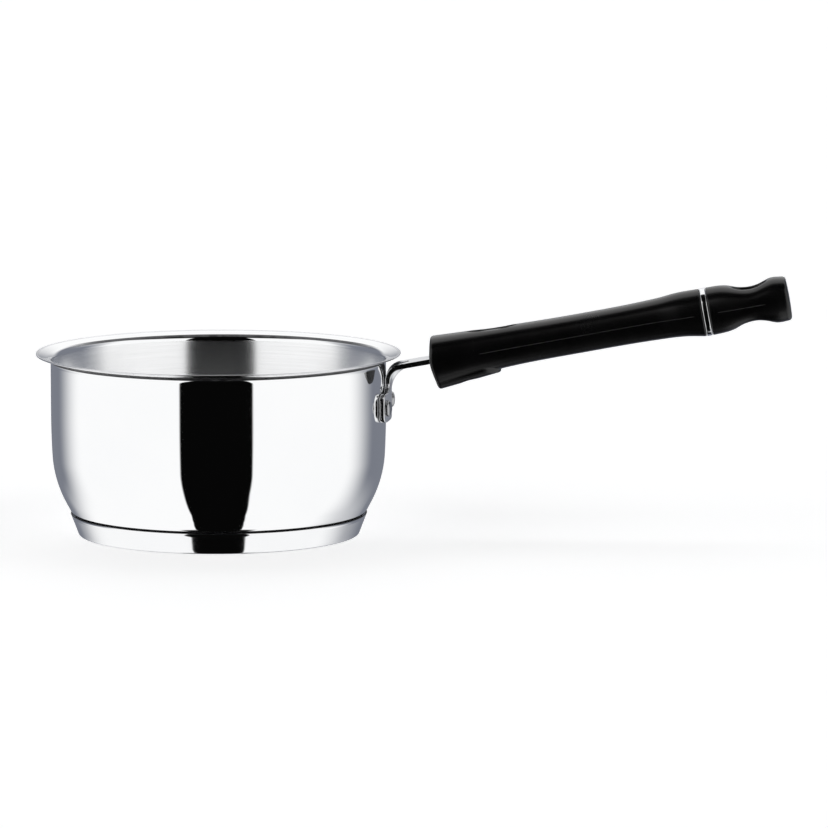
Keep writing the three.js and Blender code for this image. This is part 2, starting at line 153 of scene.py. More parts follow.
# Finishes: each function below gives the shader's values by the place on the piece
def newFinish(name, valuesAt, *given):
    material = bpy.data.materials.new(name)
    tree = emptyTree(material)
    place = tree.add("ShaderNodeTexCoord")["Object"]
    shader = tree.add("ShaderNodeBsdfPrincipled", valuesAt(tree, place, *given))
    tree.add("ShaderNodeOutputMaterial", {"Surface": shader["BSDF"]})
    return material


# Lines that run round the pan, by where a point lies on its profile
def roundLines(tree, place, spacing, along=2.0):
    x, y, z = tree.parts(place)
    radius = (x * x + y * y).call("SQRT").most(1e-5)
    across = (radius + z) / spacing
    return tree.noise(tree.vector(x / radius * along, y / radius * along, across), 1.0, 3.0, 0.6)


def mirrorSteel(tree, place):
    haze = tree.noise(place, 22.0, 3.0).step(0.3, 0.75)
    wiped = tree.noise(place, 160.0, 4.0, 0.65).step(0.45, 0.8)
    lines = roundLines(tree, place, 0.0006)
    return {
        "Base Color": tree.mixColour(haze, (0.93, 0.935, 0.94, 1), (0.915, 0.922, 0.93, 1)),
        "Metallic": 1.0,
        "Roughness": 0.022 + 0.02 * haze + 0.012 * wiped,
        "Normal": tree.bump(lines, 0.012, 0.00002),
    }


strokeLean = 15  # degrees that the polishing strokes inside the pan tip upwards


def brushedSteel(tree, place):
    fine = roundLines(tree, place, 0.00022, 3.0)
    coarse = roundLines(tree, place, 0.0011, 1.2)
    lines = fine * 0.65 + coarse * 0.35
    patch = tree.noise(place, 30.0, 3.0)
    tone = (lines * 0.7 + patch * 0.3).step(0.3, 0.72)
    lean = tree.parts(place)[2] * math.tan(math.radians(strokeLean))
    return {
        "Base Color": tree.mixColour(tone, (0.84, 0.845, 0.85, 1), (0.95, 0.955, 0.96, 1)),
        "Metallic": 1.0,
        "Roughness": 0.18 + 0.06 * lines + 0.02 * patch,
        "Anisotropic": 0.85,
        "Anisotropic Rotation": 0.25,  # the shine spreads across the lines
        "Normal": tree.bump(lines * 4e-6 - lean, 1.0, 1.0),
    }


def capSteel(tree, place):
    lines = roundLines(tree, place, 0.0004, 2.5)
    haze = tree.noise(place, 45.0, 3.0).step(0.3, 0.75)
    return {
        "Base Color": tree.mixColour(haze, (0.905, 0.91, 0.918, 1), (0.885, 0.892, 0.9, 1)),
        "Metallic": 1.0,
        "Roughness": 0.035 + 0.03 * lines + 0.02 * haze,
        "Normal": tree.bump(lines, 0.03, 0.00002),
    }


def stainOf(tree, place):
    return tree.noise(place, 240.0, 3.0).step(0.3, 0.7)


# Painted shade: dark, dull steel put where shade falls, at the cap's seam, in the crease under the lip and on
# the back of the bracket
def paintedShadeSteel(tree, place, dark, light):
    stain = stainOf(tree, place)
    return {
        "Base Color": tree.mixColour(stain, dark, light),
        "Metallic": 1.0,
        "Roughness": 0.4 + 0.15 * stain,
    }


# Painted dark reflection: a line inside the rim below the lip, faded out towards the handle and opposite it
lineFadesTo, lineFrom = 0.025, 0.055  # metres from the upright plane through the handle


def paintedReflectionLineSteel(tree, place):
    stain = stainOf(tree, place)
    reflectionLineShare = tree.parts(place)[1].call("ABSOLUTE").step(lineFadesTo, lineFrom)
    line = tree.mixColour(stain, (0.13, 0.13, 0.135, 1), (0.22, 0.22, 0.225, 1))
    return {
        "Base Color": tree.mixColour(reflectionLineShare, (0.92, 0.925, 0.93, 1), line),
        "Metallic": 1.0,
        "Roughness": 0.03 + reflectionLineShare * (0.37 + 0.15 * stain),
    }


# Edge of the lip, left a little duller by trimming
def rimEdgeSteel(tree, place):
    haze = tree.noise(place, 90.0, 2.0).step(0.3, 0.7)
    return {
        "Base Color": tree.mixColour(haze, (0.78, 0.785, 0.8, 1), (0.7, 0.705, 0.72, 1)),
        "Metallic": 1.0,
        "Roughness": 0.14 + 0.06 * haze,
    }


def pressedSteel(tree, place, rough):
    tumble = tree.noise(place, 900.0, 3.0, 0.55)
    grain = tree.noise(place, 5200.0, 2.0)
    haze = tree.noise(place, 90.0, 2.0).step(0.3, 0.7)
    return {
        "Base Color": tree.mixColour(haze, (0.9, 0.905, 0.912, 1), (0.86, 0.868, 0.88, 1)),
        "Metallic": 1.0,
        "Roughness": rough + 0.05 * haze + 0.04 * grain,
        "Normal": tree.bump(tumble * 0.7 + grain * 0.3, 0.07, 0.00008),
    }


def rivetSteel(tree, place):
    grain = tree.noise(place, 2600.0, 3.0, 0.6)
    tone = grain.step(0.35, 0.7)
    return {
        "Base Color": tree.mixColour(tone, (0.46, 0.465, 0.475, 1), (0.36, 0.365, 0.375, 1)),
        "Metallic": 1.0,
        "Roughness": 0.18 + 0.09 * grain,
        "Normal": tree.bump(grain, 0.09, 0.00005),
    }


def ringSteel(tree, place):
    grain = tree.noise(place, 3400.0, 2.0)
    haze = tree.noise(place, 260.0, 2.0).step(0.3, 0.7)
    return {
        "Base Color": tree.mixColour(haze, (0.93, 0.935, 0.945, 1), (0.89, 0.9, 0.912, 1)),
        "Metallic": 1.0,
        "Roughness": 0.05 + 0.04 * haze + 0.02 * grain,
        "Normal": tree.bump(grain, 0.02, 0.00002),
    }


def blackPhenolic(tree, place):
    skin = tree.noise(place, 2600.0, 3.0, 0.6)  # fine eggshell of the mould
    flow = tree.noise(place, 55.0, 4.0, 0.6).step(0.3, 0.75)
    fleck = tree.cells(place, 1500.0).step(0.0, 0.35)
    dark = tree.mixColour(flow, (0.0009, 0.0009, 0.0011, 1), (0.0015, 0.0015, 0.0018, 1))
    return {
        "Base Color": tree.mixColour(fleck, (0.0022, 0.0022, 0.0026, 1), dark),
        "Roughness": 0.215 + 0.04 * flow + 0.04 * skin,
        "Specular IOR Level": 0.5,
        "Normal": tree.bump(skin, 0.08, 0.00005),
    }


# Mould lines, trimmed and so duller than the skin
def trimmedPhenolic(tree, place):
    wear = tree.noise(place, 420.0, 3.0).step(0.3, 0.7)
    return {
        "Base Color": tree.mixColour(wear, (0.006, 0.006, 0.0065, 1), (0.014, 0.014, 0.015, 1)),
        "Roughness": 0.42 + 0.12 * wear,
    }


def platedMetal(tree, place, light, dark, rough):
    spangle = tree.cells(place, 620.0)
    grain = tree.noise(place, 1900.0, 3.0, 0.6)
    tone = (spangle * 0.6 + grain * 0.5).step(0.2, 0.8)
    return {
        "Base Color": tree.mixColour(tone, light, dark),
        "Metallic": 1.0,
        "Roughness": rough + 0.15 * tone,
        "Normal": tree.bump(grain, 0.12, 0.00005),
    }


finishes = {
    "mirror": newFinish("mirror_steel", mirrorSteel),
    "brushed": newFinish("brushed_steel", brushedSteel),
    "cap": newFinish("cap_steel", capSteel),
    # seam, crease and bracketBack are painted shade; bendLine is a painted dark reflection line
    "seam": newFinish("seam_painted_shade", paintedShadeSteel, (0.02, 0.02, 0.022, 1), (0.06, 0.06, 0.062, 1)),
    "crease": newFinish("crease_painted_shade", paintedShadeSteel, (0.03, 0.03, 0.032, 1), (0.085, 0.085, 0.088, 1)),
    "bendLine": newFinish("bend_line_painted_reflection", paintedReflectionLineSteel),
    "rimEdge": newFinish("rim_edge_steel", rimEdgeSteel),
    "bracket": newFinish("satin_steel", pressedSteel, 0.3),
    "bracketEdge": newFinish("pressed_edge", pressedSteel, 0.09),
    "bracketBack": newFinish("bracket_back_painted_shade", paintedShadeSteel, (0.1, 0.1, 0.105, 1), (0.2, 0.2, 0.205, 1)),
    "rivet": newFinish("rivet_steel", rivetSteel),
    "ring": newFinish("ring_steel", ringSteel),
    "black": newFinish("black_phenolic", blackPhenolic),
    "trimmed": newFinish("trimmed_phenolic", trimmedPhenolic),
    "zinc": newFinish("zinc_plate", platedMetal, (0.66, 0.67, 0.69, 1), (0.5, 0.51, 0.53, 1), 0.26),
    "core": newFinish("plain_aluminium", platedMetal, (0.78, 0.785, 0.79, 1), (0.66, 0.665, 0.67, 1), 0.38),
    "brass": newFinish("plain_brass", platedMetal, (0.78, 0.6, 0.3, 1), (0.6, 0.44, 0.2, 1), 0.28),
}
print("finishes made:", len(finishes))


# Meshes
def makePiece(name, points, faces, finish):
    mesh = bpy.data.meshes.new(name)
    mesh.from_pydata((np.asarray(points, float) * mm).tolist(), [], [tuple(map(int, face)) for face in faces])
    mesh.materials.append(finish)
    mesh.validate()
    mesh.shade_smooth()
    piece = bpy.data.objects.new(name, mesh)
    scene.collection.objects.link(piece)
    return piece


# Turns the evaluated shape into the object's own plain mesh
def settle(piece):
    evaluated = piece.evaluated_get(bpy.context.evaluated_depsgraph_get())
    mesh = bpy.data.meshes.new_from_object(evaluated)
    finish = next(material for material in mesh.materials if material)
    mesh.materials.clear()
    mesh.materials.append(finish)
    mesh.polygons.foreach_set("material_index", [0] * len(mesh.polygons))
    piece.modifiers.clear()
    old = piece.data
    piece.data = mesh
    mesh.name = piece.name
    bpy.data.meshes.remove(old)
    return piece


# Joins doubled points, faces all sides outward and keeps edges past an angle sharp
def closeUp(piece, sharp=None):
    work = bmesh.new()
    work.from_mesh(piece.data)
    bmesh.ops.remove_doubles(work, verts=work.verts, dist=2e-6)
    bmesh.ops.dissolve_degenerate(work, edges=work.edges, dist=1e-7)
    bmesh.ops.recalc_face_normals(work, faces=work.faces)
    work.to_mesh(piece.data)
    work.free()
    piece.data.shade_smooth()
    if sharp:
        piece.data.set_sharp_from_angle(angle=math.radians(sharp))
    return piece


# Gives some faces of a piece a finish of their own
def refinish(piece, name, faces):
    piece.data.materials.append(finishes[name])
    for face in faces:
        face.material_index = len(piece.data.materials) - 1


def finishPiece(piece, slot, *nodes):
    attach(piece, "root")
    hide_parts(*nodes)
    return piece


def groupInputs(group, sockets):
    names = {}
    for name, kind in sockets.items():
        socket = group.interface.new_socket(name=name, in_out="INPUT", socket_type="NodeSocket" + kind)
        names[name] = socket.identifier
    group.interface.new_socket(name="Shape", in_out="OUTPUT", socket_type="NodeSocketGeometry")
    return names


def groupOutput(tree, shape, finish):
    real = tree.add("GeometryNodeRealizeInstances", {"Geometry": shape})
    dressed = tree.add("GeometryNodeSetMaterial", {"Geometry": real[0], "Material": finish})
    tree.add("NodeGroupOutput", {"Shape": dressed[0]})


# Geometry nodes: a profile of points (radius, 0, height) turned about +Z
def turnedGroup():
    group = bpy.data.node_groups.new("turned_shape", "GeometryNodeTree")
    names = groupInputs(group, {"Profile": "Geometry", "Sides": "Int", "Finish": "Material"})
    tree = Tree(group)
    given = tree.add("NodeGroupInput")
    size = tree.add("GeometryNodeAttributeDomainSize", {"Geometry": given["Profile"]}, component="MESH")
    rows = size["Point Count"]
    sheet = tree.add("GeometryNodeMeshGrid", {"Vertices X": given["Sides"] + 1, "Vertices Y": rows})
    index = tree.add("GeometryNodeInputIndex")[0]
    position = tree.add("GeometryNodeInputPosition")[0]
    sample = {"Geometry": given["Profile"], "Value": position, "Index": index % rows}
    picked = tree.add("GeometryNodeSampleIndex", sample, data_type="FLOAT_VECTOR", domain="POINT")[0]
    radius, _, height = tree.parts(picked)
    turn = (index / rows).call("FLOOR") * (2 * math.pi) / given["Sides"]
    spot = tree.vector(radius * turn.call("COSINE"), radius * turn.call("SINE"), height)
    moved = tree.add("GeometryNodeSetPosition", {"Geometry": sheet["Mesh"], "Position": spot})
    merged = tree.add("GeometryNodeMergeByDistance", {"Geometry": moved[0], "Distance": 1e-6})
    smooth = tree.add("GeometryNodeSetShadeSmooth", {"Geometry": merged[0]})
    groupOutput(tree, smooth[0], given["Finish"])
    return group, names


turnedShape, turnedNames = turnedGroup()


def profilePiece(name, profile):
    points = [(radius, 0, height) for radius, height in profile]
    mesh = bpy.data.meshes.new(name)
    mesh.from_pydata((np.array(points) * mm).tolist(), [(i, i + 1) for i in range(len(points) - 1)], [])
    piece = bpy.data.objects.new(name, mesh)
    scene.collection.objects.link(piece)
    return piece


def shaped(piece, group, names, values):
    modifier = piece.modifiers.new(group.name, "NODES")
    modifier.node_group = group
    for name, value in values.items():
        modifier[names[name]] = value
    return settle(piece)


def turned(name, profile, sides, finish):
    values = {"Sides": sides, "Finish": finish}
    return closeUp(shaped(profilePiece(name, profile), turnedShape, turnedNames, values))


# Points of a profile, with straight runs split so that the shading stays even
def fill(points, longest):
    full = [points[0]]
    for (x0, y0), (x1, y1) in zip(points, points[1:]):
        count = max(1, math.ceil(math.hypot(x1 - x0, y1 - y0) / longest))
        full += [(x0 + (x1 - x0) * i / count, y0 + (y1 - y0) * i / count) for i in range(1, count + 1)]
    return full


# Arc of a profile between two leans, in degrees that its face looks down
def leanArc(centre, radius, fromLean, toLean, steps):
    leans = [math.radians(fromLean + (toLean - fromLean) * i / steps) for i in range(steps + 1)]
    return [(centre[0] + radius * math.cos(lean), centre[1] - radius * math.sin(lean)) for lean in leans]


# Half round that joins the ends of two faces of a sheet
def sheetEdge(outer, inner, half, start, steps=8):
    middle = ((outer[0] + inner[0]) / 2, (outer[1] + inner[1]) / 2)
    turns = [start + math.pi * i / steps for i in range(1, steps)]
    return [(middle[0] + half * math.cos(turn), middle[1] + half * math.sin(turn)) for turn in turns]


# Quarter round at the outer corner of a turned piece
def roundCorner(radius, base, edge, count):
    turns = np.linspace(0, math.pi / 2, count)
    return [(radius - edge + edge * math.sin(t), base + edge - edge * math.cos(t)) for t in turns]


# Pan: mirror outside, brushed inside
pan = {
    "innerDiameter": 160, "height": 88.2, "wall": 0.8,
    "rimReach": 7.2, "rimBend": 3, "rimSlope": 18,
    "sideRadius": 400, "sideLean": 3, "bowlRadius": 55, "bowlLean": 28,
    "footLength": 4.1, "cornerRadius": 11, "floor": 6.55,
    "brushedFrom": 4.6, "bendLine": 2.3, "bendLineHalf": 0.5, "creaseDepth": 7.0,  # down from the lip's top
    "creaseFrom": 0.4, "creaseTo": 4.6, "creaseDown": 0.5,  # where the crease's painted shade lies: out from the wall, and how far it looks down
    "trimmed": 1.4,  # back from the lip's edge
    "cornerSteps": 14, "bowlSteps": 18, "sideSteps": 8, "bendSteps": 18, "split": 2.5, "sides": 360,
}
wallRadius = pan["innerDiameter"] / 2 + pan["wall"]


def panArcs():
    bowl, side = math.radians(pan["bowlLean"]), math.radians(pan["sideLean"])
    flat = (
        wallRadius
        - pan["sideRadius"] * (1 - math.cos(side))
        - pan["bowlRadius"] * (math.cos(side) - math.cos(bowl))
        - pan["footLength"] * math.sin(bowl)
        - pan["cornerRadius"] * math.cos(bowl)
    )
    corner = (flat, pan["floor"] + pan["cornerRadius"])
    foot = leanArc(corner, pan["cornerRadius"], pan["bowlLean"], pan["bowlLean"], 1)[0]
    head = (foot[0] + pan["footLength"] * math.sin(bowl), foot[1] + pan["footLength"] * math.cos(bowl))
    bowlCentre = (head[0] - pan["bowlRadius"] * math.cos(bowl), head[1] + pan["bowlRadius"] * math.sin(bowl))
    top = leanArc(bowlCentre, pan["bowlRadius"], pan["sideLean"], pan["sideLean"], 1)[0]
    sideCentre = (top[0] - pan["sideRadius"] * math.cos(side), top[1] + pan["sideRadius"] * math.sin(side))
    return corner, bowlCentre, sideCentre


def panFace(inset):
    corner, bowlCentre, sideCentre = panArcs()
    slope = math.radians(pan["rimSlope"])
    bend = math.pi / 2 - slope
    flat = pan["rimReach"] - pan["rimBend"] * (1 - math.cos(bend))
    edge = pan["height"] - pan["wall"] * math.cos(slope)
    bendHeight = edge - flat * math.tan(slope) - pan["rimBend"] * math.sin(bend)
    points = [(0, pan["floor"] + inset)]
    points += leanArc(corner, pan["cornerRadius"] - inset, 90, pan["bowlLean"], pan["cornerSteps"])
    points += leanArc(
        bowlCentre, pan["bowlRadius"] - inset, pan["bowlLean"], pan["sideLean"], pan["bowlSteps"],
    )
    points += leanArc(sideCentre, pan["sideRadius"] - inset, pan["sideLean"], 0, pan["sideSteps"])[1:]
    radius = pan["rimBend"] + inset
    for i in range(pan["bendSteps"] + 1):
        turn = bend * i / pan["bendSteps"]
        points.append((
            wallRadius + pan["rimBend"] - radius * math.cos(turn),
            bendHeight + radius * math.sin(turn),
        ))
    back = pan["wall"] / 2  # the rim's edge is rounded within the full reach
    for offset in (pan["trimmed"], back):
        points.append((
            wallRadius + pan["rimReach"] - inset * math.sin(slope) - offset * math.cos(slope),
            edge + inset * math.cos(slope) - offset * math.sin(slope),
        ))
    return points


def buildPan():
    outer, inner = fill(panFace(0), pan["split"]), fill(panFace(pan["wall"]), pan["split"])
    lipStart = math.radians(pan["rimSlope"]) - math.pi / 2
    lip = sheetEdge(outer[-1], inner[-1], pan["wall"] / 2, lipStart)
    piece = turned("pan_body", outer + lip + inner[::-1], pan["sides"], finishes["mirror"])
    for name in ("brushed", "crease", "bendLine", "rimEdge"):
        piece.data.materials.append(finishes[name])
    radii, heights = np.array(panFace(pan["wall"] / 2)[1:]).T
    floorTop, brushedTop = pan["floor"] + pan["wall"] / 2, pan["height"] - pan["brushedFrom"]
    creaseLow = pan["height"] - pan["creaseDepth"]
    for face in piece.data.polygons:
        x, y, z = face.center / mm
        radius = math.hypot(x, y)
        wall = np.interp(z, heights, radii)
        beyond = radius - wallRadius
        looksDown = radius > wall and face.normal.z < -pan["creaseDown"]
        if (radius < radii[0] or radius < wall) and floorTop < z < brushedTop:
            face.material_index = 1
        if looksDown and pan["creaseFrom"] < beyond < pan["creaseTo"] and z > creaseLow:
            face.material_index = 2  # painted shade: a dark line in the crease under the lip
        if radius < wall and abs(z - pan["height"] + pan["bendLine"]) < pan["bendLineHalf"]:
            face.material_index = 3  # and a painted dark reflection line, less dark, inside the rim
        if beyond > pan["rimReach"] - pan["trimmed"]:
            face.material_index = 4  # the trimmed edge of the lip
    return finishPiece(piece, "polished_steel", "pan_shell")


panBody = buildPan()
print("pan turned:", len(panBody.data.polygons), "faces")

# Cap under the base, a pressed dish with a folded top edge
cap = {
    "sheet": 0.6, "height": 10.4, "lean": 21, "footRadius": 1, "seam": 0.45,
    "dullFrom": 0.03,  # where the painted shade starts, up from where the fold starts
    "footSteps": 8, "split": 2.0, "splitInside": 4.0, "sides": 360,
}


def buildCap():
    lean = math.radians(cap["lean"])
    radii, heights = np.array(panFace(0)[1:]).T
    atTop = float(np.interp(cap["height"], heights, radii))
    top = atTop + cap["seam"] + cap["sheet"] / math.cos(lean)
    footHeight = cap["footRadius"] * (1 - math.sin(lean))
    foot = top - (cap["height"] - footHeight) * math.tan(lean) - cap["footRadius"] * math.cos(lean)
    half = cap["sheet"] / 2
    axis = (math.sin(lean), math.cos(lean))

    def side(inset):
        arc = leanArc((foot, cap["footRadius"]), cap["footRadius"] - inset, 90, cap["lean"], cap["footSteps"])
        head = (top - inset / math.cos(lean) - half * axis[0], cap["height"] - half * axis[1])
        return [(0, inset), *arc, head]

    outer, inner = side(0), side(cap["sheet"])
    fold = sheetEdge(outer[-1], inner[-1], half, -lean)
    profile = fill(outer, cap["split"]) + fold + fill(inner, cap["splitInside"])[::-1]
    piece = turned("base_cover", profile, cap["sides"], finishes["cap"])
    dullFrom = outer[-1][1] + cap["dullFrom"]
    # Painted shade along the cap's folded top edge, where it meets the pan
    refinish(piece, "seam", [face for face in piece.data.polygons if face.center.z / mm > dullFrom])
    return finishPiece(piece, "cap_steel", "base_cap")


baseCover = buildCap()
print("base cap turned:", len(baseCover.data.polygons), "faces")

# Handle frame: along the handle, across it and up from its axis, in millimetres
handle = {"tilt": 10.4, "standoff": 21.2, "drop": 3.48}
handleTilt = math.radians(handle["tilt"])
handleX = wallRadius + handle["standoff"]
handleZ = pan["height"] - handle["drop"]


def toFrame(points):
    along, across, up = np.asarray(points, float).T
    cos, sin = math.cos(handleTilt), math.sin(handleTilt)
    return np.stack([handleX + along * cos - up * sin, across, handleZ + along * sin + up * cos], 1)


def handleMatrix(along, up, turn):
    place = toFrame([(along, 0, up)])[0] * mm
    return Matrix.Translation(place) @ Matrix.Rotation(-handleTilt, 4, "Y") @ turn


# Bracket: one pressed sheet, a T-shaped plate round the wall and a strap bent out along the handle
bracket = {
    "strapWidth": 15, "thickness": 2.5, "bend": 5.5, "tang": 52, "tangCorner": 2,
    "plateDrop": 24.9, "plateHeight": 13.9, "plateWidth": 42, "corner": 4, "fillet": 6.4,
    "gap": 0.3, "ribRadius": 12, "ribWidth": 6.6, "ribFlat": 1.6,
    "edge": 0.35, "spacing": 0.9, "clear": 0.6,  # clear of the outline, as a share of the spacing
    "endFrom": 19.7, "endLean": 0.55, "backFacing": 0.25,
    "cornerSteps": 12, "edgeSteps": 4, "sharp": 60,
}
plateHeightUp = pan["height"] - bracket["plateDrop"]
plateMiddle = wallRadius + bracket["gap"] + bracket["thickness"] / 2


def bracketPath():
    cos, sin = math.cos(handleTilt), math.sin(handleTilt)
    half, bend = bracket["thickness"] / 2, bracket["bend"]
    bendX = plateMiddle + half + bend
    bendZ = handleZ + ((bendX - handleX) * sin - half - bend) / cos
    ribX = plateMiddle + half + bracket["ribRadius"]
    ribZ = handleZ + ((ribX - handleX) * sin - half - bracket["ribRadius"]) / cos
    bottom = plateHeightUp - bracket["plateHeight"] / 2
    sweep = math.pi / 2 - handleTilt
    upright = bendZ - bottom
    arc = sweep * (bend + half)
    endX = bendX + (bend + half) * math.cos(math.pi - sweep)
    endZ = bendZ + (bend + half) * math.sin(math.pi - sweep)
    start = (endX - handleX) * cos + (endZ - handleZ) * sin
    return {
        "rib": (ribX, ribZ), "bottom": bottom, "sweep": sweep,
        "upright": upright, "arc": arc, "length": upright + arc + bracket["tang"] - start,
    }


path = bracketPath()


def ease(share):
    return share * share * (3 - 2 * share)


# Where a point of the flat sheet goes: run along it, across it and out from its middle
def pressSheet(run, across, out):
    half, radius = bracket["thickness"] / 2, bracket["bend"] + bracket["thickness"] / 2
    turn = np.clip((run - path["upright"]) / radius, 0, path["sweep"])
    beyond = np.maximum(run - path["upright"] - path["arc"], 0)
    low = np.minimum(run, path["upright"])
    aheadX, aheadZ = np.sin(turn), np.cos(turn)
    outX, outZ = np.cos(turn), -np.sin(turn)
    middleX = plateMiddle + radius * (1 - np.cos(turn)) + beyond * aheadX
    middleZ = path["bottom"] + low + radius * np.sin(turn) + beyond * aheadZ
    fade = ease(1 - turn / path["sweep"])
    wrapped = np.sqrt((plateMiddle + out) ** 2 - across ** 2) - plateMiddle
    rise = out + fade * (wrapped - out)
    fromX = middleX + outX * half - path["rib"][0]
    fromZ = middleZ + outZ * half - path["rib"][1]
    facing = outX * fromX + outZ * fromZ
    passing = aheadX * fromX + aheadZ * fromZ
    reach = facing ** 2 - (fromX ** 2 + fromZ ** 2 - bracket["ribRadius"] ** 2)
    depth = np.maximum(-facing - np.sqrt(np.maximum(reach, 0)), 0)
    pressed = np.where(beyond > 0, passing < 0, passing > 0) | ((turn > 0) & (beyond <= 0))
    ribHalf, flat = bracket["ribWidth"] / 2, bracket["ribFlat"] / 2
    slope = np.clip((ribHalf - np.abs(across)) / (ribHalf - flat), 0, 1)
    bead = np.where(pressed, depth, 0) * ease(slope)
    endLength = bracket["plateWidth"] / 2 - bracket["endFrom"]
    end = np.clip((np.abs(across) - bracket["endFrom"]) / endLength, 0, 1)
    across = across * (1 + bracket["endLean"] * end * fade * out / plateMiddle)
    return np.stack([middleX + outX * (rise + bead), across, middleZ + outZ * (rise + bead)], 1)


# Points of the flat sheet's outline, each with the way it faces
def bracketOutline():
    halfPlate, halfStrap = bracket["plateWidth"] / 2, bracket["strapWidth"] / 2
    corner, fillet, tip = bracket["corner"], bracket["fillet"], bracket["tangCorner"]
    top, length = bracket["plateHeight"], path["length"]
    arcs = [
        (halfPlate - corner, corner, corner, -90, 0),
        (halfPlate - corner, top - corner, corner, 0, 90),
        (halfStrap + fillet, top + fillet, fillet, 270, 180),
        (halfStrap - tip, length - tip, tip, 0, 90),
    ]
    right, steps = [], bracket["cornerSteps"]
    for x, y, radius, begin, end in arcs:
        side = 1 if end > begin else -1  # a fillet bulges the other way
        for i in range(steps + 1):
            turn = math.radians(begin + (end - begin) * i / steps)
            spot = (x + radius * math.cos(turn), y + radius * math.sin(turn))
            right.append((*spot, side * math.cos(turn), side * math.sin(turn)))
    whole = right + [(-x, y, -nx, ny) for x, y, nx, ny in reversed(right)]
    full = []
    for here, after in zip(whole, whole[1:] + whole[:1]):
        gap = math.hypot(after[0] - here[0], after[1] - here[1])
        count = max(1, math.ceil(gap / bracket["spacing"])) if gap > 1e-6 else 0
        full += [np.array(here) + (np.array(after) - np.array(here)) * i / count for i in range(count)]
    return np.array(full)


def insideOutline(loop, points):
    x, y = points.T
    found = np.zeros(len(points), bool)
    for (x0, y0), (x1, y1) in zip(loop, np.roll(loop, -1, 0)):
        crosses = (y0 > y) != (y1 > y)
        found ^= crosses & (x < (x1 - x0) * (y - y0) / (y1 - y0 + 1e-12) + x0)
    return found


def buildBracket():
    outline = bracketOutline()
    edge, half = bracket["edge"], bracket["thickness"] / 2
    turns = np.linspace(0, math.pi / 2, bracket["edgeSteps"] + 1)
    rim = [(edge * (1 - math.sin(turn)), half - edge + edge * math.cos(turn)) for turn in turns]
    rim += [(inset, -out) for inset, out in reversed(rim)]
    loop = outline[:, :2] - outline[:, 2:] * edge
    step = bracket["spacing"]
    low, high = loop.min(0), loop.max(0)
    grid = np.stack(np.meshgrid(np.arange(low[0], high[0], step), np.arange(low[1], high[1], step)), -1)
    grid = grid.reshape(-1, 2)
    clear = edge + step * bracket["clear"]
    grid = grid[insideOutline(outline[:, :2] - outline[:, 2:] * clear, grid)]
    flat = [Vector(point) for point in np.concatenate([loop, grid])]
    count = len(loop)
    flat, _, triangles, *_ = delaunay_2d_cdt(flat, [], [list(range(count))], 1, 1e-6)
    flat = np.array([tuple(point) for point in flat])
    points = [pressSheet(flat[:, 1], flat[:, 0], np.full(len(flat), out)) for out in (half, -half)]
    size = len(flat)
    faces = [list(face) for face in triangles]
    faces += [[corner + size for corner in face[::-1]] for face in triangles]
    sheetFaces = len(faces)
    for number, (inset, out) in enumerate(rim):
        ring = outline[:, :2] - outline[:, 2:] * inset
        points.append(pressSheet(ring[:, 1], ring[:, 0], np.full(count, out)))
        start = 2 * size + number * count
        if number:
            for i in range(count):
                after = (i + 1) % count
                faces.append([start - count + i, start - count + after, start + after, start + i])
    piece = makePiece("handle_strap", np.concatenate(points), faces, finishes["bracket"])
    sheet, edges = piece.data.polygons[:sheetFaces], piece.data.polygons[sheetFaces:]
    refinish(piece, "bracketEdge", edges)
    # Painted shade on the bracket's back, which faces the pan wall
    againstPan = [face for face in sheet if face.normal.x < -bracket["backFacing"]]
    refinish(piece, "bracketBack", againstPan)
    return finishPiece(closeUp(piece, bracket["sharp"]), "bracket_steel", "handle_bracket")


handleStrap = buildBracket()
print("bracket pressed:", len(handleStrap.data.polygons), "faces")

# Rivets: one turned rivet, set at each end of the plate
rivets = {
    "spacing": 34, "shank": 5, "head": 7.8, "headHeight": 2.3, "tailHeight": 1.3,
    "seat": 0.05, "crown": 3.5, "crownSteps": 14, "sides": 48, "sharp": 50,
}


def rivetProfile():
    head, shank = rivets["head"] / 2, rivets["shank"] / 2
    outer = plateMiddle + bracket["thickness"] / 2 + rivets["seat"]
    inner = math.sqrt((wallRadius - pan["wall"]) ** 2 - head ** 2) - rivets["seat"]

    def crown(height):
        steps, power = rivets["crownSteps"], 2 / rivets["crown"]
        turns = [math.pi / 2 * i / steps for i in range(steps)]
        dome = [(head * math.cos(t) ** power, height * math.sin(t) ** power) for t in turns]
        return dome + [(0, height)]

    tail = [(x, inner - y) for x, y in reversed(crown(rivets["tailHeight"]))]
    face = [(x, outer + y) for x, y in crown(rivets["headHeight"])]
    return tail + [(shank, inner), (shank, outer)] + face


def rivetGroup():
    group = bpy.data.node_groups.new("rivet_pair", "GeometryNodeTree")
    names = groupInputs(group, {
        "Profile": "Geometry", "Sides": "Int", "Turn": "Float", "Height": "Float", "Finish": "Material",
    })
    tree = Tree(group)
    given = tree.add("NodeGroupInput")
    values = {"Profile": given["Profile"], "Sides": given["Sides"], "Finish": given["Finish"]}
    one = tree.add("GeometryNodeGroup", values, node_tree=turnedShape)
    lain = {"Geometry": one["Shape"], "Rotation": (0, math.pi / 2, 0)}
    lying = tree.add("GeometryNodeTransform", lain)
    line = {"Count": 2, "Start Location": tree.vector(0, 0, given["Height"]), "Offset": (0, 0, 0)}
    spots = tree.add("GeometryNodeMeshLine", line)
    index = tree.add("GeometryNodeInputIndex")[0]
    facing = tree.vector(0, 0, (index * 2 - 1) * given["Turn"])
    pair = {"Points": spots[0], "Instance": lying[0], "Rotation": facing}
    placed = tree.add("GeometryNodeInstanceOnPoints", pair)
    groupOutput(tree, placed[0], given["Finish"])
    return group, names


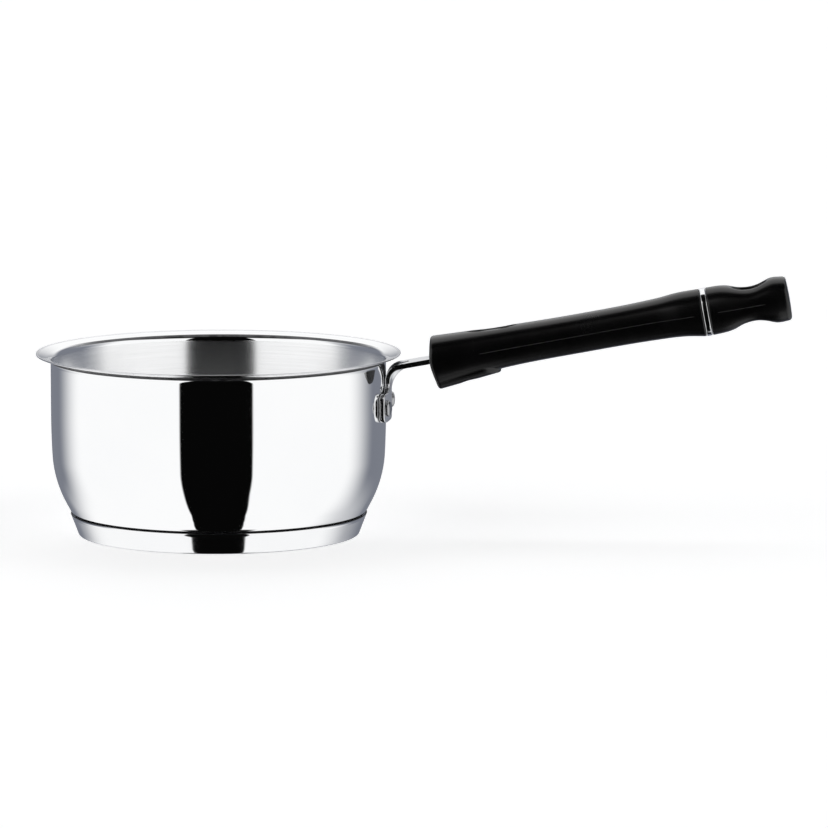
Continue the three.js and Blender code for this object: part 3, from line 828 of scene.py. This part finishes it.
def buildRivets():
    group, names = rivetGroup()
    plateOuter = plateMiddle + bracket["thickness"] / 2
    values = {
        "Sides": rivets["sides"],
        "Turn": math.asin(rivets["spacing"] / 2 / plateOuter),
        "Height": plateHeightUp * mm,
        "Finish": finishes["rivet"],
    }
    piece = shaped(profilePiece("plate_rivets", rivetProfile()), group, names, values)
    return finishPiece(closeUp(piece, rivets["sharp"]), "rivet_steel", "rivet_near", "rivet_far")


plateRivets = buildRivets()
print("rivets set:", len(plateRivets.data.polygons), "faces")


# Moulded pieces: a gap function is negative inside, and a net of faces is drawn where it is zero
mould = {
    "passes": 6, "leastSlope": 0.3,
    "seamWidth": 0.5, "seamHeight": 0.18, "seamSunk": 0.4, "seamLean": 1.3,
    "seamStep": 0.8, "seamFade": 4, "seamRows": 7, "seamClear": 1.5,
}


def roundMax(first, second, size):
    near = np.maximum(size - np.abs(first - second), 0) / size
    return np.maximum(first, second) + near * near * size / 4


def roundMin(first, second, size):
    return -roundMax(-first, -second, size)


def shifted(cells, axis, i, j):
    cell = cells.copy()
    cell[:, (axis + 1) % 3] -= i
    cell[:, (axis + 2) % 3] -= j
    return tuple(cell.T)


def surfaceNet(gapAt, low, high, step):
    low = np.array(low, float)
    axes = [np.arange(a, b + step, step) for a, b in zip(low, high)]
    gap = gapAt(*np.meshgrid(*axes, indexing="ij"))
    shape = np.array(gap.shape) - 1
    total, count = np.zeros((*shape, 3)), np.zeros(shape)
    edges = []
    for axis in range(3):
        here, there = [slice(None)] * 3, [slice(None)] * 3
        here[axis], there[axis] = slice(0, -1), slice(1, None)
        first, second = gap[tuple(here)], gap[tuple(there)]
        crosses = (first < 0) != (second < 0)
        cells = np.argwhere(crosses)
        spot = cells.astype(float)
        spot[:, axis] += first[crosses] / (first[crosses] - second[crosses])
        edges.append((axis, cells, first[crosses] < 0))
        for i, j in ((0, 0), (0, 1), (1, 0), (1, 1)):
            cell = shifted(cells, axis, i, j)
            np.add.at(total, cell, spot)
            np.add.at(count, cell, 1)
    filled = count > 0
    number = np.full(shape, -1)
    number[filled] = np.arange(filled.sum())
    points = low + step * total[filled] / count[filled][:, None]
    faces = []
    for axis, cells, leaves in edges:
        corners = [number[shifted(cells, axis, i, j)] for i, j in ((1, 1), (0, 1), (0, 0), (1, 0))]
        quads = np.stack(corners, 1)
        quads[~leaves] = quads[~leaves][:, ::-1]
        faces.append(quads)
    return points, np.concatenate(faces)


def slopeAt(gapAt, points, reach=0.002):
    moves = np.eye(3) * reach
    return np.stack([(gapAt(*(points + m).T) - gapAt(*(points - m).T)) / (2 * reach) for m in moves], 1)


def mouldedPiece(name, gapAt, size, begin, end, seams):
    step = size["step"]
    low, high = np.array(size["netLow"]) + (begin, 0, 0), np.array(size["netHigh"]) + (end, 0, 0)
    points, faces = surfaceNet(gapAt, low, high, step)
    for _ in range(mould["passes"]):
        slope = slopeAt(gapAt, points)
        steepness = np.maximum((slope ** 2).sum(1), mould["leastSlope"])
        move = (gapAt(*points.T) / steepness)[:, None] * slope
        points = points - np.clip(move, -step / 2, step / 2)
    normals = slopeAt(gapAt, points)
    normals /= np.maximum(np.linalg.norm(normals, axis=1), 1e-9)[:, None]
    faces = faces.tolist()
    plain = len(faces)
    for ridge, ridgeFaces, ridgeNormals in seams:
        faces += (np.array(ridgeFaces) + len(points)).tolist()
        points = np.concatenate([points, ridge])
        normals = np.concatenate([normals, ridgeNormals])
    piece = makePiece(name, toFrame(points), faces, finishes["black"])
    refinish(piece, "trimmed", piece.data.polygons[plain:])
    facing = toFrame(normals) - toFrame(np.zeros((1, 3)))
    piece.data.normals_split_custom_set_from_vertices(facing.tolist())
    return piece


# Stations of (along, up, down, width, squareness, middle), eased by a cubic curve through them
def easing(stations):
    table = np.array(stations, float)
    along, values = table[:, 0], table[:, 1:]

    def at(places):
        places = np.clip(places, along[0], along[-1])
        i1 = np.clip(np.searchsorted(along, places, side="right"), 1, len(along) - 1)
        i0 = i1 - 1
        before = np.where(i0 > 0, i0 - 1, i1)
        after = np.where(i1 < len(along) - 1, i1 + 1, i0)
        t0, t1 = along[i0], along[i1]
        half = (t1 - t0) / 2
        back = half / (t0 - along[before])
        ahead = half / (along[after] - t1)
        p = (places - t0) / (t1 - t0)
        weights = (
            -back * p ** 3 + 2 * back * p ** 2 - back * p,
            (1 + back) * p ** 3 + (-1.5 - 2 * back) * p ** 2 + (-0.5 + back) * p + 1,
            (-1 - ahead) * p ** 3 + (1.5 + ahead) * p ** 2 + 0.5 * p,
            ahead * p ** 3 - ahead * p ** 2,
        )
        found = 0
        for weight, index in zip(weights, (before, i0, i1, after)):
            found = found + weight[..., None] * values[index]
        return np.moveaxis(found, -1, 0)

    return at


def sectionGap(across, up, shape):
    top, bottom, width, power, middle = shape
    rise = up - middle
    reach = np.where(rise >= 0, top - middle, bottom + middle)
    distance = np.hypot(across, rise) + 1e-6
    share = (np.abs(across / (width / 2)) ** power + np.abs(rise / reach) ** power) ** (1 / power)
    return distance - distance / np.maximum(share, 1e-7)


# A fine raised line where the two halves of the mould met
def mouldSeam(shapeAt, begin, end, side):
    along = np.linspace(begin, end, int((end - begin) / mould["seamStep"]))
    _, _, width, _, middle = shapeAt(along)
    fade = np.clip(np.minimum(along - begin, end - along) / mould["seamFade"], 0, 1)
    turns = np.linspace(-math.pi / 2, math.pi / 2, mould["seamRows"])
    half, sunk = mould["seamWidth"] / 2, mould["seamSunk"]
    points, normals = [], []
    for turn in turns:
        proud = fade * math.cos(turn) - sunk - (1 - sunk) * (1 - fade)
        out = width / 2 + mould["seamHeight"] * proud
        points.append(np.stack([along, side * out, middle + half * math.sin(turn)], 1))
        lean = math.sin(turn) * mould["seamLean"]
        normals.append(np.tile([0, side * math.cos(lean), math.sin(lean)], (len(along), 1)))
    count, faces = len(along), []
    for row in range(len(turns) - 1):
        for i in range(count - 1):
            a, b = row * count + i, (row + 1) * count + i
            faces.append([a, a + 1, b + 1, b] if side < 0 else [a, b, b + 1, a + 1])
    return np.concatenate(points), faces, np.concatenate(normals)


def mouldSeams(shapeAt, begin, end):
    return [mouldSeam(shapeAt, begin, end, side) for side in (-1, 1)]


# Grip, with sections of (up, down, width, squareness)
grip = {
    "length": 133.3,
    "front": (11.3, 13.6, 26.4, 2.3), "shoulderAt": 35, "shoulder": (10, 9.95, 22.6, 2.3),
    "waistAt": 75, "waist": (9.4, 9.3, 21.2, 2.3), "flareLength": 21.5, "flare": (10.15, 9.65, 21.8, 2.2),
    "flareTurn": 10.7, "flareTurnDown": 10.3,
    "frontEdgeDrop": 0.2, "frontLowerSlope": 8, "frontRound": 1.2, "edge": 1.7, "rearEdge": 0.7,
    "padLength": 33, "padWidth": 18, "padProud": 1.3, "padSquareness": 3, "padTop": 2,
    "padEdge": 0.9, "padFillet": 0.5, "keelTop": 1.55, "keelLeast": 4,
    "recessAt": 32.1, "recessLength": 24, "recessWidth": 9.5, "recessDepth": 1.2,
    "recessBedRound": 0.7, "recessEdge": 0.45,
    "screwAt": 17, "boreEdge": 0.5, "slotGap": 0.12, "slotPast": 0.6, "slotEdge": 0.4,
    "seamFrom": 22, "step": 0.42,
    "netLow": (-2, -15, -17), "netHigh": (2, 15, 14),  # from the front, and past the length
}
ring = {
    "diameter": 23.2, "width": 2.6, "drop": 0.45, "gap": 0.2, "bore": 16.6, "edge": 0.38,
    "edgePoints": 7, "split": 0.8, "sides": 160, "sharp": 50,
}
screw = {
    "shank": 5, "head": 9.2, "headHeight": 3, "headEdge": 1, "recess": 0.5, "tip": 1.2, "chamfer": 0.6,
    "slotWidth": 1.2, "slotDepth": 1.3, "slotPast": 2,
    "edgePoints": 8, "split": 1.2, "sides": 56, "sharp": 35,
}
inside = {
    "fit": 0.3, "seat": 0.05, "overlap": 1, "washer": 1.3, "nut": 8, "nutHeight": 3.5,
    "spigot": 16, "spigotDepth": 4.6, "spigotRoot": 3,
    "insert": 9, "gripInsert": 11, "endInsert": 13,
}

oval = 2  # squareness of a plain ellipse
ringRadius = ring["diameter"] / 2
ringStation = (ringRadius - ring["drop"], ringRadius + ring["drop"], ring["diameter"], oval, -ring["drop"])
flareStation = (ringStation[0], grip["flareTurnDown"], ring["diameter"], oval, -ring["drop"] / 2)
gripShape = easing([
    (0, *grip["front"], 0),
    (grip["shoulderAt"], *grip["shoulder"], 0),
    (grip["waistAt"], *grip["waist"], 0),
    (grip["length"] - grip["flareLength"], *grip["flare"], 0),
    (grip["length"] - grip["flareTurn"], *flareStation),
    (grip["length"], *ringStation),
])
padTilt = math.atan((grip["front"][1] - grip["shoulder"][1]) / grip["shoulderAt"])
padFaceAtScrew = grip["front"][1] + grip["padProud"] - grip["screwAt"] * math.tan(padTilt)
screwFace = padFaceAtScrew - screw["recess"]
boreFloor = screwFace - screw["headHeight"] - 2 * inside["seat"] - inside["washer"]
nutTop = bracket["thickness"] / 2 + inside["fit"] + inside["nutHeight"]


def gripGap(along, across, up):
    body = sectionGap(across, up, gripShape(along))
    half = grip["padWidth"] / 2
    pastPad = np.maximum(along - grip["padLength"] + half, 0)
    plan = np.where(pastPad > 0, np.hypot(pastPad, across), np.abs(across)) - half
    down = grip["front"][1] + grip["padProud"] - along * math.tan(padTilt)
    keelWidth = grip["padWidth"] + 2 * grip["padProud"]
    keel = (grip["keelTop"], np.maximum(down, grip["keelLeast"]), keelWidth, grip["padSquareness"], 0)
    pad = np.maximum(sectionGap(across, up, keel), up + grip["padTop"])
    body = roundMin(body, roundMax(pad, plan, grip["padEdge"]), grip["padFillet"])
    drop, lower = up + grip["frontEdgeDrop"], math.radians(grip["frontLowerSlope"])
    upperFace = drop * math.sin(handleTilt) - along * math.cos(handleTilt)
    lowerFace = -drop * math.sin(lower) - along * math.cos(lower)
    body = roundMax(body, roundMax(upperFace, lowerFace, grip["frontRound"]), grip["edge"])
    body = roundMax(body, along - grip["length"], grip["rearEdge"])
    slope = (grip["front"][0] - grip["shoulder"][0]) / grip["shoulderAt"]
    bed = grip["front"][0] - along * slope - grip["recessDepth"]
    offset = along - grip["recessAt"]
    share = np.hypot(offset / (grip["recessLength"] / 2), across / (grip["recessWidth"] / 2)) + 1e-6
    rim = np.hypot(offset, across) * (1 - 1 / share)
    body = roundMax(body, -roundMax(rim, bed - up, grip["recessBedRound"]), grip["recessEdge"])
    slotSide = np.abs(across) - bracket["strapWidth"] / 2 - grip["slotGap"]
    slotFlat = np.abs(up) - bracket["thickness"] / 2 - grip["slotGap"]
    slotEnd = along - bracket["tang"] - grip["slotPast"]
    body = roundMax(body, -np.maximum(np.maximum(slotSide, slotFlat), slotEnd), grip["slotEdge"])
    fit = inside["fit"]
    fromScrew = np.hypot(along - grip["screwAt"], across)
    headBore = np.maximum(fromScrew - screw["head"] / 2 - fit, up + boreFloor)
    body = roundMax(body, -headBore, grip["boreEdge"])
    shankEnds = np.maximum(up, -up - boreFloor - inside["overlap"])
    shank = np.maximum(fromScrew - screw["shank"] / 2 - fit, shankEnds)
    pocket = np.maximum(np.abs(along - grip["screwAt"]), np.abs(across)) - inside["nut"] / 2 - fit
    pocket = np.maximum(pocket, np.maximum(-up, up - nutTop - screw["tip"] - fit))
    fromAxis = np.hypot(across, up + ring["drop"])
    socketEnd = grip["length"] - inside["spigotDepth"] - fit
    socket = np.maximum(fromAxis - inside["spigot"] / 2 - fit, socketEnd - along)
    boreEnd = grip["length"] - inside["spigotDepth"] - inside["gripInsert"] - 3 * fit
    bore = np.maximum(fromAxis - inside["insert"] / 2 - fit, boreEnd - along)
    return np.maximum(body, -np.minimum(np.minimum(shank, pocket), np.minimum(socket, bore)))


def buildGrip():
    seams = mouldSeams(gripShape, grip["seamFrom"], grip["length"] - mould["seamClear"])
    piece = mouldedPiece("handle_grip", gripGap, grip, 0, grip["length"], seams)
    return finishPiece(piece, "black_phenolic", "grip")


handleGrip = buildGrip()
print("grip moulded:", len(handleGrip.data.polygons), "faces")


# Ring between the grip and the hanging end
def buildRing():
    width, inner = ring["width"], ring["bore"] / 2
    corner = roundCorner(ringRadius, 0, ring["edge"], ring["edgePoints"])
    farCorner = [(x, width - y) for x, y in reversed(corner)]
    loop = [(inner, 0), *corner, *farCorner, (inner, width), (inner, 0)]
    piece = turned("handle_ring", fill(loop, ring["split"]), ring["sides"], finishes["ring"])
    turn = Matrix.Rotation(math.pi / 2, 4, "Y")
    piece.data.transform(handleMatrix(grip["length"] + ring["gap"], -ring["drop"], turn))
    piece.data.set_sharp_from_angle(angle=math.radians(ring["sharp"]))
    return finishPiece(piece, "ring_steel", "ferrule_ring")


handleRing = buildRing()
print("ring turned:", len(handleRing.data.polygons), "faces")

# Hanging end with its eye, with the same kind of sections
hangEnd = {
    "length": 39.2, "shoulderAt": 7.3, "shoulder": (10.9, 11.65, 23.7, 2.1),
    "eyeFromTail": 18.1, "eyeLength": 16.5, "eyeWidth": 9, "eyeWaist": (8.3, 8.95, 24.8, 2.3),
    "swellFromTail": 7, "swell": (10.45, 11.5, 24, 2.2), "tailFromTail": 1.9, "tail": (9.95, 11.4, 23.2, 2.2),
    "dome": 0.5, "domeWidth": 11.6, "domeHeight": 10.7, "tailEdge": 1.9, "eyeEdge": 2.6, "frontEdge": 0.7,
    "seamLength": 30, "step": 0.36,
    "netLow": (-7, -14, -14), "netHigh": (2, 14, 13),  # from the grip's end, and past the tail
}
endStart = grip["length"] + 2 * ring["gap"] + ring["width"]
endFinish = endStart + hangEnd["length"]
eyeAt = endFinish - hangEnd["eyeFromTail"]
endShape = easing([
    (endStart, *ringStation),
    (endStart + hangEnd["shoulderAt"], *hangEnd["shoulder"], -ring["drop"]),
    (eyeAt, *hangEnd["eyeWaist"], -ring["drop"]),
    (endFinish - hangEnd["swellFromTail"], *hangEnd["swell"], -ring["drop"]),
    (endFinish - hangEnd["tailFromTail"], *hangEnd["tail"], -ring["drop"]),
])


def endGap(along, across, up):
    body = sectionGap(across, up, endShape(along))
    aside, above = across / hangEnd["domeWidth"], (up + ring["drop"]) / hangEnd["domeHeight"]
    dome = (aside ** 2 + above ** 2) * hangEnd["dome"]
    body = roundMax(body, along - endFinish + dome, hangEnd["tailEdge"])
    body = roundMax(body, endStart - along, hangEnd["frontEdge"])
    half = hangEnd["eyeWidth"] / 2
    past = np.maximum(np.abs(along - eyeAt) - hangEnd["eyeLength"] / 2 + half, 0)
    body = roundMax(body, half - np.hypot(past, across), hangEnd["eyeEdge"])
    fromAxis = np.hypot(across, up + ring["drop"])
    spigotStart = grip["length"] - inside["spigotDepth"]
    spigotEnds = np.maximum(spigotStart - along, along - endStart - inside["spigotRoot"])
    spigot = np.maximum(fromAxis - inside["spigot"] / 2, spigotEnds)
    bore = np.maximum(
        fromAxis - inside["insert"] / 2 - inside["fit"],
        along - spigotStart - inside["endInsert"] - 2 * inside["fit"],
    )
    return np.maximum(np.minimum(body, spigot), -bore)


def buildEnd():
    seams = mouldSeams(endShape, endStart + mould["seamClear"], endStart + hangEnd["seamLength"])
    piece = mouldedPiece("hanging_end", endGap, hangEnd, grip["length"], endFinish, seams)
    return finishPiece(piece, "black_phenolic", "end_piece")


hangingEnd = buildEnd()
print("hanging end moulded:", len(hangingEnd.data.polygons), "faces")


# Slotted screw under the grip
def buildScrew():
    shank, head, chamfer = screw["shank"] / 2, screw["head"] / 2, screw["chamfer"]
    seat = -screwFace + screw["headHeight"]
    tip = nutTop + screw["tip"]
    edge = roundCorner(head, -screwFace, screw["headEdge"], screw["edgePoints"])
    stem = [(head, seat), (shank, seat), (shank, tip - chamfer), (shank - chamfer, tip), (0, tip)]
    profile = fill([(0, -screwFace), *edge, *stem], screw["split"])
    piece = turned("grip_screw", profile, screw["sides"], finishes["zinc"])
    slot = (screw["head"] + 2 * screw["slotPast"], screw["slotWidth"], 2 * screw["slotDepth"])
    signs = np.array([(x, y, z) for x in (-1, 1) for y in (-1, 1) for z in (-1, 1)])
    corners = signs * slot / 2 - (0, 0, screwFace)
    sides = [(0, 1, 3, 2), (4, 6, 7, 5), (0, 4, 5, 1), (2, 3, 7, 6), (0, 2, 6, 4), (1, 5, 7, 3)]
    cutter = makePiece("slot_cutter", corners, sides, finishes["zinc"])
    modifier = piece.modifiers.new("slot", "BOOLEAN")
    modifier.operation = "DIFFERENCE"
    modifier.solver = "EXACT"
    modifier.object = cutter
    settle(piece)
    bpy.data.objects.remove(cutter)
    piece.data.transform(handleMatrix(grip["screwAt"], 0, Matrix.Identity(4)))
    piece.data.set_sharp_from_angle(angle=math.radians(screw["sharp"]))
    return finishPiece(piece, "zinc_steel", "fixing_screw")


gripScrew = buildScrew()
print("screw cut:", len(gripScrew.data.polygons), "faces")

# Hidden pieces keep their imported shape
hidden = {
    "base_core": "core", "spring_washer": "zinc", "clamp_nut": "zinc", "joining_stud": "zinc",
    "grip_insert": "brass", "end_insert": "brass",
}
for name, finish in hidden.items():
    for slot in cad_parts[name].material_slots:
        slot.material = finishes[finish]
print("hidden pieces finished:", len(hidden))

# Floor, pale and plain: it takes the shadow, and polished metal looks past it at the studio
floor = {"half": 9000, "drop": 0.2, "tone": 0.9, "lift": 0.5}


def buildFloor():
    half, height = floor["half"], -floor["drop"]
    corners = [(-half, -half, height), (half, -half, height), (half, half, height), (-half, half, height)]
    material = bpy.data.materials.new("pale_floor")
    tree = emptyTree(material)
    rays = tree.add("ShaderNodeLightPath")
    matt = tree.add("ShaderNodeBsdfDiffuse", {"Color": grey(floor["tone"])})
    strength = rays["Is Camera Ray"] * floor["lift"]
    lift = tree.add("ShaderNodeEmission", {"Color": grey(1), "Strength": strength})
    pale = tree.add("ShaderNodeAddShader", [matt["BSDF"], lift["Emission"]])
    clear = tree.add("ShaderNodeBsdfTransparent")
    passing = rays["Is Glossy Ray"].most(rays["Is Transmission Ray"])
    mixed = tree.add("ShaderNodeMixShader", [passing, pale[0], clear["BSDF"]])
    tree.add("ShaderNodeOutputMaterial", {"Surface": mixed[0]})
    makePiece("studio_floor", corners, [(0, 1, 2, 3)], material)


buildFloor()

# Studio round the pan: white walls left and right, a dark gap in front, grey behind,
# and dark patches just in front of overhead and underfoot
studio = {
    "front": 2.3,  # degrees from -Y towards +X
    "white": 1.04, "dark": 0.002, "grey": (0.2, 0.213, 0.25, 1), "soft": 8.0, "middle": 0.05,
    # a pair is where a change begins and ends, in degrees of turn from the front or of rise
    "gap": 25.0, "gapEdge": 1.6, "gapSpread": 2.2, "gapDrift": 1.3, "gapLast": 3.0,
    "gapDeep": (-60, -30), "gapLowest": (-64, -54), "gapTop": (78, 90),
    "wallEnd": 104.0, "greyFrom": 140.0, "lopside": 3.5,
    "upper": (-6, 8), "upperShift": 30, "upperLopside": 10,
    "ceiling": (-5.0, 22.0), "sideCeiling": (22.0, 58.0), "sideFrom": (84, 98), "sideTo": (150, 164),
    "lowGrey": (-36.0, -14.0), "rightKeeps": 0.5, "backKeeps": (148, 165),
    "overhead": 58.0, "underfoot": -74.0, "bulge": 55.0, "bulgeFrom": -67.0,
    "backLow": -48.0, "backFrom": (140, 160),
    "overheadAhead": (-0.25, -0.15),  # share of the way ahead
}


def buildStudio():
    world = bpy.data.worlds.new("studio")
    scene.world = world
    tree = emptyTree(world)
    x, y, z = tree.parts(tree.add("ShaderNodeTexCoord")["Generated"])
    front, soft = math.radians(studio["front"]), studio["soft"]
    level = (x * x + y * y).call("SQRT").most(1e-5)
    ahead = x * math.sin(front) - y * math.cos(front)
    right = (x * math.cos(front) + y * math.sin(front)).past(0, studio["middle"])
    turn = (ahead / level).call("ARCCOSINE") * (180 / math.pi)
    rise = z.call("ARCSINE") * (180 / math.pi)
    sided = right * 2 - 1
    side = turn.step(*studio["sideFrom"]) * (1 - turn.step(*studio["sideTo"]))
    plain = rise.step(*studio["ceiling"])
    ceiling = plain + side * (rise.step(*studio["sideCeiling"]) - plain)
    keeps = (right * studio["rightKeeps"]).most(turn.step(*studio["backKeeps"]))
    low = keeps + (1 - keeps) * rise.step(*studio["lowGrey"])
    shift = studio["upperShift"] - right * studio["upperLopside"]
    wallEnd = studio["wallEnd"] - shift * rise.step(*studio["upper"])
    behind = (turn + sided * studio["lopside"] - wallEnd).step(0, studio["greyFrom"] - studio["wallEnd"])
    behind = behind * (1 - ceiling) * low
    walls = tree.mixColour(behind, grey(studio["white"]), studio["grey"])
    deep = 1 - rise.step(*studio["gapDeep"])
    gap = studio["gap"] + deep * (studio["gapSpread"] + sided * studio["gapDrift"])
    gap = gap + (1 - rise.step(*studio["gapLowest"])) * studio["gapLast"]
    inGap = 1 - (turn - gap).past(0, studio["gapEdge"] / 2)
    inGap = inGap * (1 - rise.step(*studio["gapTop"]))
    overhead = rise.step(studio["overhead"] - soft, studio["overhead"])
    overhead = overhead * ahead.step(*studio["overheadAhead"])
    underfoot = 1 - rise.past(studio["underfoot"], soft / 4)
    bulge = 1 - rise.past(studio["bulgeFrom"], soft / 4)
    bulge = bulge * (1 - turn.past(studio["bulge"], soft / 2))
    backLow = turn.step(*studio["backFrom"]) * (1 - rise.past(studio["backLow"], soft / 2))
    shade = inGap.most(overhead).most(underfoot).most(bulge).most(backLow)
    seen = tree.mixColour(shade, walls, grey(studio["dark"]))
    rays = tree.add("ShaderNodeLightPath")
    shown = tree.mixColour(rays["Is Camera Ray"], seen, grey(1))
    light = tree.add("ShaderNodeBackground", {"Color": shown, "Strength": 1.0})
    tree.add("ShaderNodeOutputWorld", {"Surface": light[0]})


buildStudio()
print("studio lit")

# Camera, at the photograph's angle
view = {
    "target": (94.36, 0, 58.36), "distance": 3200, "azimuth": 2.3, "elevation": 7.76,
    "lens": 288.6, "sensor": 36, "far": 100,
}


def buildCamera():
    azimuth, elevation = math.radians(view["azimuth"]), math.radians(view["elevation"])
    back = Vector((
        math.sin(azimuth) * math.cos(elevation),
        -math.cos(azimuth) * math.cos(elevation),
        math.sin(elevation),
    ))
    data = bpy.data.cameras.new("photo_camera")
    data.lens = view["lens"]
    data.sensor_width = view["sensor"]
    data.clip_end = view["far"]
    camera = bpy.data.objects.new("photo_camera", data)
    scene.collection.objects.link(camera)
    camera.location = (Vector(view["target"]) + back * view["distance"]) * mm
    camera.rotation_mode = "QUATERNION"
    camera.rotation_quaternion = back.to_track_quat("Z", "Y")
    scene.camera = camera


buildCamera()
print("saucepan ready")
